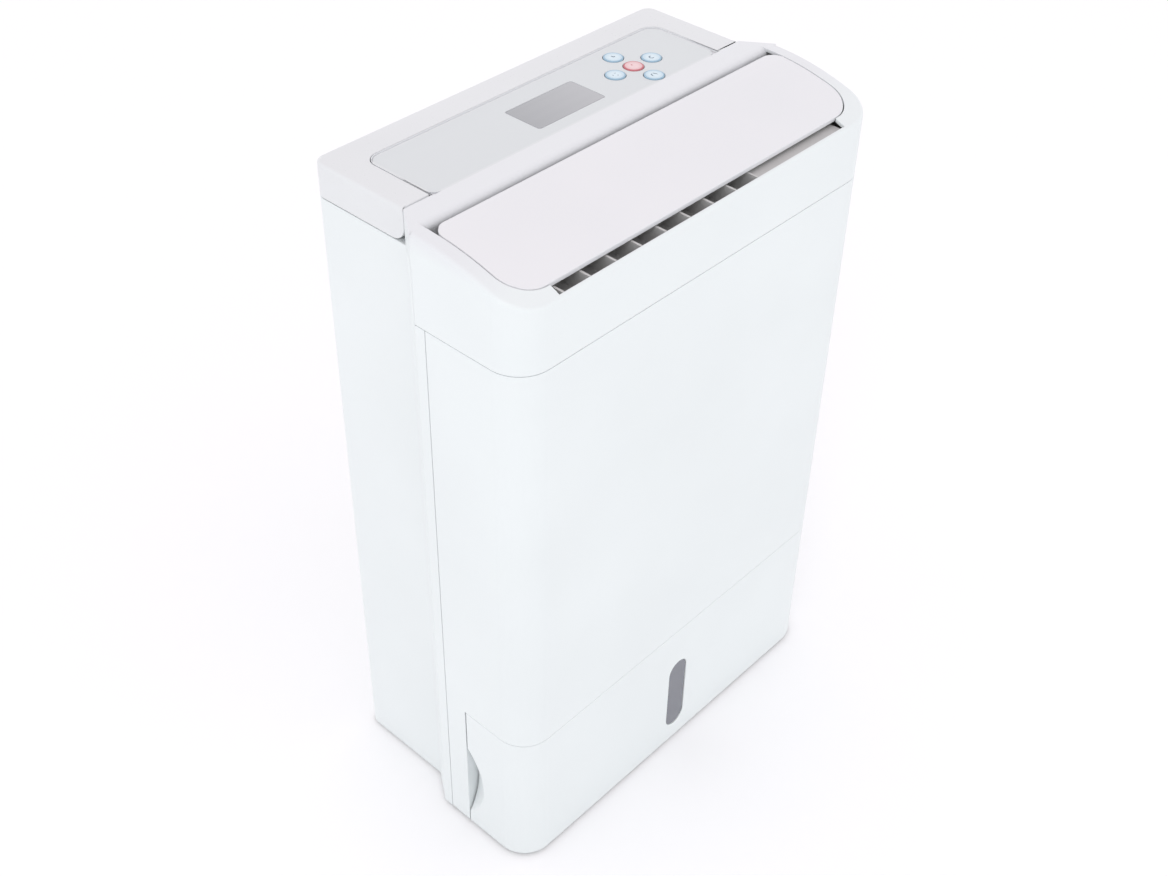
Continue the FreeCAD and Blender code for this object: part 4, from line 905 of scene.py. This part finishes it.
SIGNS = {
    # broken ring with an upright stroke
    Symbol.POWER: [Arc(radius_mm=2.9, start=125, stop=415), Bar(length_mm=2.6, lean=90, at_mm=(0, 2.3))],
    # dial with two hands
    Symbol.CLOCK: [Arc(radius_mm=2.9, start=0, stop=360),
                   Bar(length_mm=2.0, lean=90, at_mm=(0, 0.9)),
                   Bar(length_mm=1.6, lean=0, at_mm=(0.7, 0))],
    # three curved blades
    Symbol.BREEZE: [breeze_blade(turn) for turn in (0, 120, 240)],
    # two open arcs, one inside the other
    Symbol.SWING: [Arc(radius, start=60, stop=300) for radius in (3.0, 1.4)],
    # round belly under two leaning sides
    Symbol.DROP: [Arc(radius_mm=2.0, start=150, stop=390, at_mm=(0, -0.8)),
                  Bar(length_mm=2.9, lean=65, at_mm=(-1.05, 1.4)),
                  Bar(length_mm=2.9, lean=115, at_mm=(1.05, 1.4))],
}


@dataclass(frozen=True)
class KeyColours:
    """Colours of one kind of key: its centre, rim and ring, and the ink of its sign."""

    centre: str
    rim: str
    ring: str
    sign: Ink


BLUE_KEY = KeyColours("D5E3EB", "BAD1E0", "97B6CB", Ink("pad_print_slate", "5F7486", "8FA3B3"))
RED_KEY = KeyColours("E8C9CB", "DDB0B4", "C4666F", Ink("pad_print_red", "B8505A", "D08B92"))


@dataclass
class ControlDeck:
    """Printed overlay, display pane and five keys."""

    film_ease: Easing = Easing(0.25, 2)
    pane_ease: Easing = Easing(0.2, 2)
    print_mm: float = 0.06
    stroke_mm: float = 0.8
    arc_step_degrees: float = 12.0
    least_arc_steps: int = 6
    dish_mm: float = 0.12
    sign_sink_mm: float = 0.144
    cap_round_mm: float = 0.5
    cap_steps: int = 56
    stem_share: float = 0.25
    dish_share: float = 0.55
    face_band_mm: float = 0.1

    def build(self) -> None:
        """Makes the overlay, the pane and the keys, and finishes the boards below."""
        low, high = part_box("control_fascia")
        half = ((high.x - low.x) / 2 / MM, (high.y - low.y) / 2 / MM)
        centre = middle_of("control_fascia")
        film = PrintedFilm("printed_polycarbonate_film", "D3D6D8", "D9DBDD",
                           (centre.x / MM, centre.y / MM), half)
        ease("control_fascia", "printed_overlay", film, self.film_ease)
        left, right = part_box("display_window")
        pane = DisplayPane("acrylic_display_pane", "9C9DA1", "ADADB1", left.x / MM, right.x / MM)
        ease("display_window", "display_pane", pane, self.pane_ease)
        for symbol in Symbol:
            self.key(symbol)
        dress("display_module", INNER_BLACK)
        dress("control_board", BOARD)
        dress("key_switches", INNER_BLACK)

    def key(self, symbol: Symbol) -> None:
        """Turns one key with a dished top, and prints its sign."""
        node = symbol.value
        body = body_with(node)
        low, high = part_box(node)
        centre = middle_of(node)
        radius = self.cap_radius(node, high.z)
        colours = RED_KEY if symbol is Symbol.POWER else BLUE_KEY
        cap = KeyCap(f"pad_printed_{node}", colours.centre, colours.rim, colours.ring,
                     (centre.x / MM, centre.y / MM), radius / MM)
        shape = bmesh.new()
        turn_body(shape, self.cap_outline(node, radius), Vector((centre.x, centre.y, low.z)), self.cap_steps)
        piece = finish_piece(shape, node.replace("_key", "_cap"), cap, body)
        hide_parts(node)
        face = Vector((centre.x, centre.y, high.z - self.sign_sink_mm * MM))
        sign = finish_piece(self.sign(symbol, face), node.replace("_key", "_sign"), colours.sign, body)

    def cap_radius(self, node: str, top: float) -> float:
        """Radius of a key's upper face, from the points in a thin band below its top."""
        across = [vertex.co.x for vertex in frame["nodes"][node].data.vertices
                  if vertex.co.z > top - self.face_band_mm * MM]
        return (max(across) - min(across)) / 2

    def cap_outline(self, node: str, radius: float) -> list[tuple[float, float]]:
        """Outline of one key: stem, collar that holds it in, rounded cap and dished face.

        Args:
            node: the key's node.
            radius: radius of its cap.

        Returns:
            Radius and height pairs, from the lower pole to the upper one.
        """
        low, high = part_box(node)
        centre = middle_of(node)
        collar = (high.x - low.x) / 2
        wide = [vertex.co.z - low.z for vertex in frame["nodes"][node].data.vertices
                if (vertex.co.xy - centre.xy).length > (radius + collar) / 2]
        stem = self.stem_share * radius
        top = high.z - low.z
        dish = self.dish_mm * MM
        outline = [(0, 0), (stem, 0), (stem, min(wide)), (collar, min(wide)), (collar, max(wide)),
                   (radius, max(wide))]
        outline += quarter(radius, top, self.cap_round_mm * MM)
        return outline + [(self.dish_share * radius, top - dish / 2), (0, top - dish)]

    def arc(self, shape: bmesh.types.BMesh, stroke: Arc, middle: Vector) -> None:
        """Prints an arc by spinning a small section.

        Args:
            shape: mesh that takes the stroke.
            stroke: the arc.
            middle: the arc's centre, on the key's face.
        """
        half, thick = self.stroke_mm * MM / 2, self.print_mm * MM
        inner, outer = stroke.radius_mm * MM - half, stroke.radius_mm * MM + half
        turn = Matrix.Rotation(math.radians(stroke.start), 3, "Z")
        section = [(inner, 0), (outer, 0), (outer, thick), (inner, thick)]
        corners = [shape.verts.new(middle + turn @ Vector((out, 0, up))) for out, up in section]
        face = shape.faces.new(corners)
        sweep = stroke.stop - stroke.start
        full = sweep >= 360
        bmesh.ops.spin(shape, geom=[face], cent=middle, axis=UP, angle=math.radians(sweep),
                       steps=max(self.least_arc_steps, int(sweep / self.arc_step_degrees)),
                       use_merge=full, dvec=(0, 0, 0))
        if full:
            bmesh.ops.delete(shape, geom=[face], context="FACES_ONLY")

    def bar(self, shape: bmesh.types.BMesh, stroke: Bar, middle: Vector) -> None:
        """Prints a bar.

        Args:
            shape: mesh that takes the stroke.
            stroke: the bar.
            middle: the bar's middle, on the key's face.
        """
        thick = self.print_mm * MM
        size = Matrix.Diagonal((stroke.length_mm * MM, self.stroke_mm * MM, thick, 1.0))
        place = Matrix.Translation(middle + UP * thick / 2)
        turn = Matrix.Rotation(math.radians(stroke.lean), 4, "Z")
        bmesh.ops.create_cube(shape, size=1.0, matrix=place @ turn @ size)

    def sign(self, symbol: Symbol, face: Vector) -> bmesh.types.BMesh:
        """Prints a key's plain sign.

        Args:
            symbol: which sign.
            face: middle of the key's face.

        Returns:
            A mesh in the making.
        """
        shape = bmesh.new()
        for stroke in SIGNS[symbol]:
            middle = face + Vector((*stroke.at_mm, 0)) * MM
            if isinstance(stroke, Arc):
                self.arc(shape, stroke, middle)
            else:
                self.bar(shape, stroke, middle)
        bmesh.ops.recalc_face_normals(shape, faces=shape.faces)
        return shape


@dataclass
class Louvre:
    """Swinging flap over the vaned outlet."""

    # small faces are the sector gear's teeth, whose edges stay sharp so that they clear the pinion
    flap_edge: Easing = Easing(0.7, least_face_mm2=3.2)
    vane_edge: Easing = Easing(0.25, 2)

    def build(self) -> None:
        """Makes the flap, the vanes and the tray, and finishes the drive."""
        ease("louvre_flap", "swing_flap", FLAP_WHITE, self.flap_edge)
        ease("outlet_grille", "outlet_vanes", VANE_GREY, self.vane_edge)
        ease("louvre_tray", "outlet_tray", INNER_GREY, self.vane_edge)
        dress("flap_pins", GROUND)
        dress("swing_pinion", GEAR_WHITE)
        dress("swing_motor", ZINC)


@dataclass
class WaterTank:
    """Pull-out tank with sight glass, lid and float."""

    wall_edge: Easing = Easing(0.35)
    window_edge: Easing = Easing(0.4)
    lid_edge: Easing = Easing(0.4, 2)

    def build(self) -> None:
        """Makes the tank and its window, and finishes lid and float."""
        ease("tank", "water_tank", SHELL_WHITE, self.wall_edge)
        low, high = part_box("level_window")
        smoke = SmokedWindow("smoked_polystyrene", "666873", "676974", low.z / MM, high.z / MM)
        ease("level_window", "sight_glass", smoke, self.window_edge)
        ease("tank_lid", "lid", MILKY, self.lid_edge)
        dress("float_guide", MILKY)
        dress("tank_float", FOAM)
        dress("float_magnet", FERRITE)


@dataclass
class RearIntake:
    """Slotted inlet grille with its framed dust filter."""

    grille_edge: Easing = Easing(0.5, 2)
    frame_edge: Easing = Easing(0.3, 2)

    def build(self) -> None:
        """Makes grille and frame, and finishes the cloth."""
        ease("inlet_grille", "intake_grille", SHELL_WHITE, self.grille_edge)
        ease("filter_frame", "dust_frame", INNER_GREY, self.frame_edge)
        dress("filter_mesh", CLOTH)


@dataclass
class DryingWorks:
    """Fans, rotor, heater, condenser and electronics inside the case."""

    def build(self) -> None:
        """Finishes every inner piece."""
        finishes = {
            "fan_scroll": MILKY, "process_impeller": INNER_BLACK, "fan_shaft": GROUND, "process_motor": ZINC,
            "chassis_plate": INNER_GREY, "rotor_frame": INNER_GREY, "rotor_axle": GROUND,
            "rotor_wheel": ZEOLITE, "rotor_rim_gear": INNER_BLACK, "drive_pinion": GEAR_WHITE,
            "rotor_motor": ZINC, "heater_box": ROLLED, "heater_element": OXIDE, "thermal_cutout": GROUND,
            "regen_scroll": INNER_BLACK, "regen_impeller": INNER_BLACK, "regen_motor": ZINC,
            "regen_duct": ROLLED, "condenser": MILKY, "drip_tray": MILKY, "main_board": BOARD,
            "tank_switch": INNER_BLACK, "tilt_switch": INNER_BLACK, "humidity_sensor": INNER_BLACK,
        }
        for node, finish in finishes.items():
            dress(node, finish)


# ---------------------------------------------------------------- studio
@dataclass(frozen=True)
class PlainPaper(Finish):
    """Matt white studio paper: almost even, so the floor stays plain."""

    colour: str
    shade: str
    cloud_mm: float = 400.0
    roughness: float = 0.9
    specular: float = 0.1

    def paint(self, tree: Tree, shader: Node, place: Socket) -> None:
        """Very faint slow shading on a dull surface."""
        cloud = add(tree, "ShaderNodeTexNoise", {"Scale": per_mm(self.cloud_mm), "Detail": 1.0},
                    {"Vector": place})
        tint(tree, shader, cloud.outputs[0], self.colour, self.shade)
        settle(shader, {"Roughness": self.roughness, "Specular IOR Level": self.specular})


@dataclass
class Studio:
    """Floor, soft lights and camera."""

    floor_size: float = 14.0
    horizon: tuple[float, float, float] = (1.26, 1.34, 1.34)
    zenith: tuple[float, float, float] = (0.90, 0.83, 0.86)
    soft_place: tuple[float, float, float] = (-1.75, -1.15, 2.4)
    soft_target: tuple[float, float, float] = (0.0, 0.0, 0.35)
    soft_size: float = 0.9
    soft_power: float = 7.0
    eye: tuple[float, float, float] = (-0.6065, -0.5380, 0.9142)
    swing_degrees: float = -48.028
    tilt_degrees: float = 39.693
    roll_degrees: float = 1.293
    lens_mm: float = 47.515
    sensor_mm: float = 36.0
    near_clip: float = 0.01

    def build(self) -> None:
        """Sets up the whole studio."""
        self.floor()
        self.light()
        self.camera()
        bpy.context.scene.view_settings.view_transform = "Standard"

    def floor(self) -> None:
        """Lays a wide sheet of white paper under the feet."""
        shape = bmesh.new()
        bmesh.ops.create_grid(shape, x_segments=4, y_segments=4, size=self.floor_size / 2)
        mesh = bpy.data.meshes.new("paper_floor")
        shape.to_mesh(mesh)
        shape.free()
        mesh.materials.append(PlainPaper("matt_studio_paper", "FCFCFD", "FDFDFE").material())
        floor = bpy.data.objects.new("paper_floor", mesh)
        bpy.context.scene.collection.objects.link(floor)

    def light(self) -> None:
        """White surroundings, brightest round the horizon, with one soft box high at the front left."""
        world = bpy.data.worlds.new("studio_air")
        bpy.context.scene.world = world
        world.use_nodes = True
        tree = world.node_tree
        tree.nodes.clear()
        heading = add(tree, "ShaderNodeTexCoord").outputs["Generated"]
        apart = add(tree, "ShaderNodeSeparateXYZ", links={0: heading})
        rise = spread(tree, apart.outputs[2], 0.0, 1.0)
        tone = add(tree, "ShaderNodeMix",
                   {"data_type": "RGBA", 6: (*self.horizon, 1.0), 7: (*self.zenith, 1.0)}, {0: rise})
        air = add(tree, "ShaderNodeBackground", {"Strength": 1.0}, {"Color": tone.outputs[2]})
        add(tree, "ShaderNodeOutputWorld", links={"Surface": air.outputs[0]})
        lamp = bpy.data.lights.new("soft_box", "AREA")
        lamp.shape = "DISK"
        lamp.size = self.soft_size
        lamp.energy = self.soft_power
        holder = bpy.data.objects.new("soft_box", lamp)
        holder.location = self.soft_place
        aim = Vector(self.soft_target) - Vector(self.soft_place)
        holder.rotation_euler = aim.to_track_quat("-Z", "Y").to_euler()
        bpy.context.scene.collection.objects.link(holder)

    def camera(self) -> None:
        """Places the camera high at the front left corner."""
        swing, tilt, roll = (math.radians(value) for value in
                             (self.swing_degrees, self.tilt_degrees, self.roll_degrees))
        back = Vector((math.sin(swing) * math.cos(tilt), -math.cos(swing) * math.cos(tilt), math.sin(tilt)))
        right = UP.cross(back).normalized()
        up = back.cross(right)
        leaned = math.cos(roll) * right + math.sin(roll) * up
        raised = math.cos(roll) * up - math.sin(roll) * right
        turn = Matrix((leaned, raised, back)).transposed()
        lens = bpy.data.cameras.new("studio_camera")
        lens.lens = self.lens_mm
        lens.sensor_width = self.sensor_mm
        lens.clip_start = self.near_clip
        holder = bpy.data.objects.new("studio_camera", lens)
        holder.matrix_world = Matrix.Translation(self.eye) @ turn.to_4x4()
        bpy.context.scene.collection.objects.link(holder)
        bpy.context.scene.camera = holder


def main() -> None:
    """Builds the studio and every sub-assembly in order."""
    logging.basicConfig(level=logging.INFO, format="%(message)s")
    for builder in (Studio(), Casing(), CarryHandle(), ControlDeck(), Louvre(), WaterTank(), RearIntake(),
                    DryingWorks()):
        builder.build()
        LOG.info("%s done", type(builder).__name__)


if __name__ == "__main__":
    main()
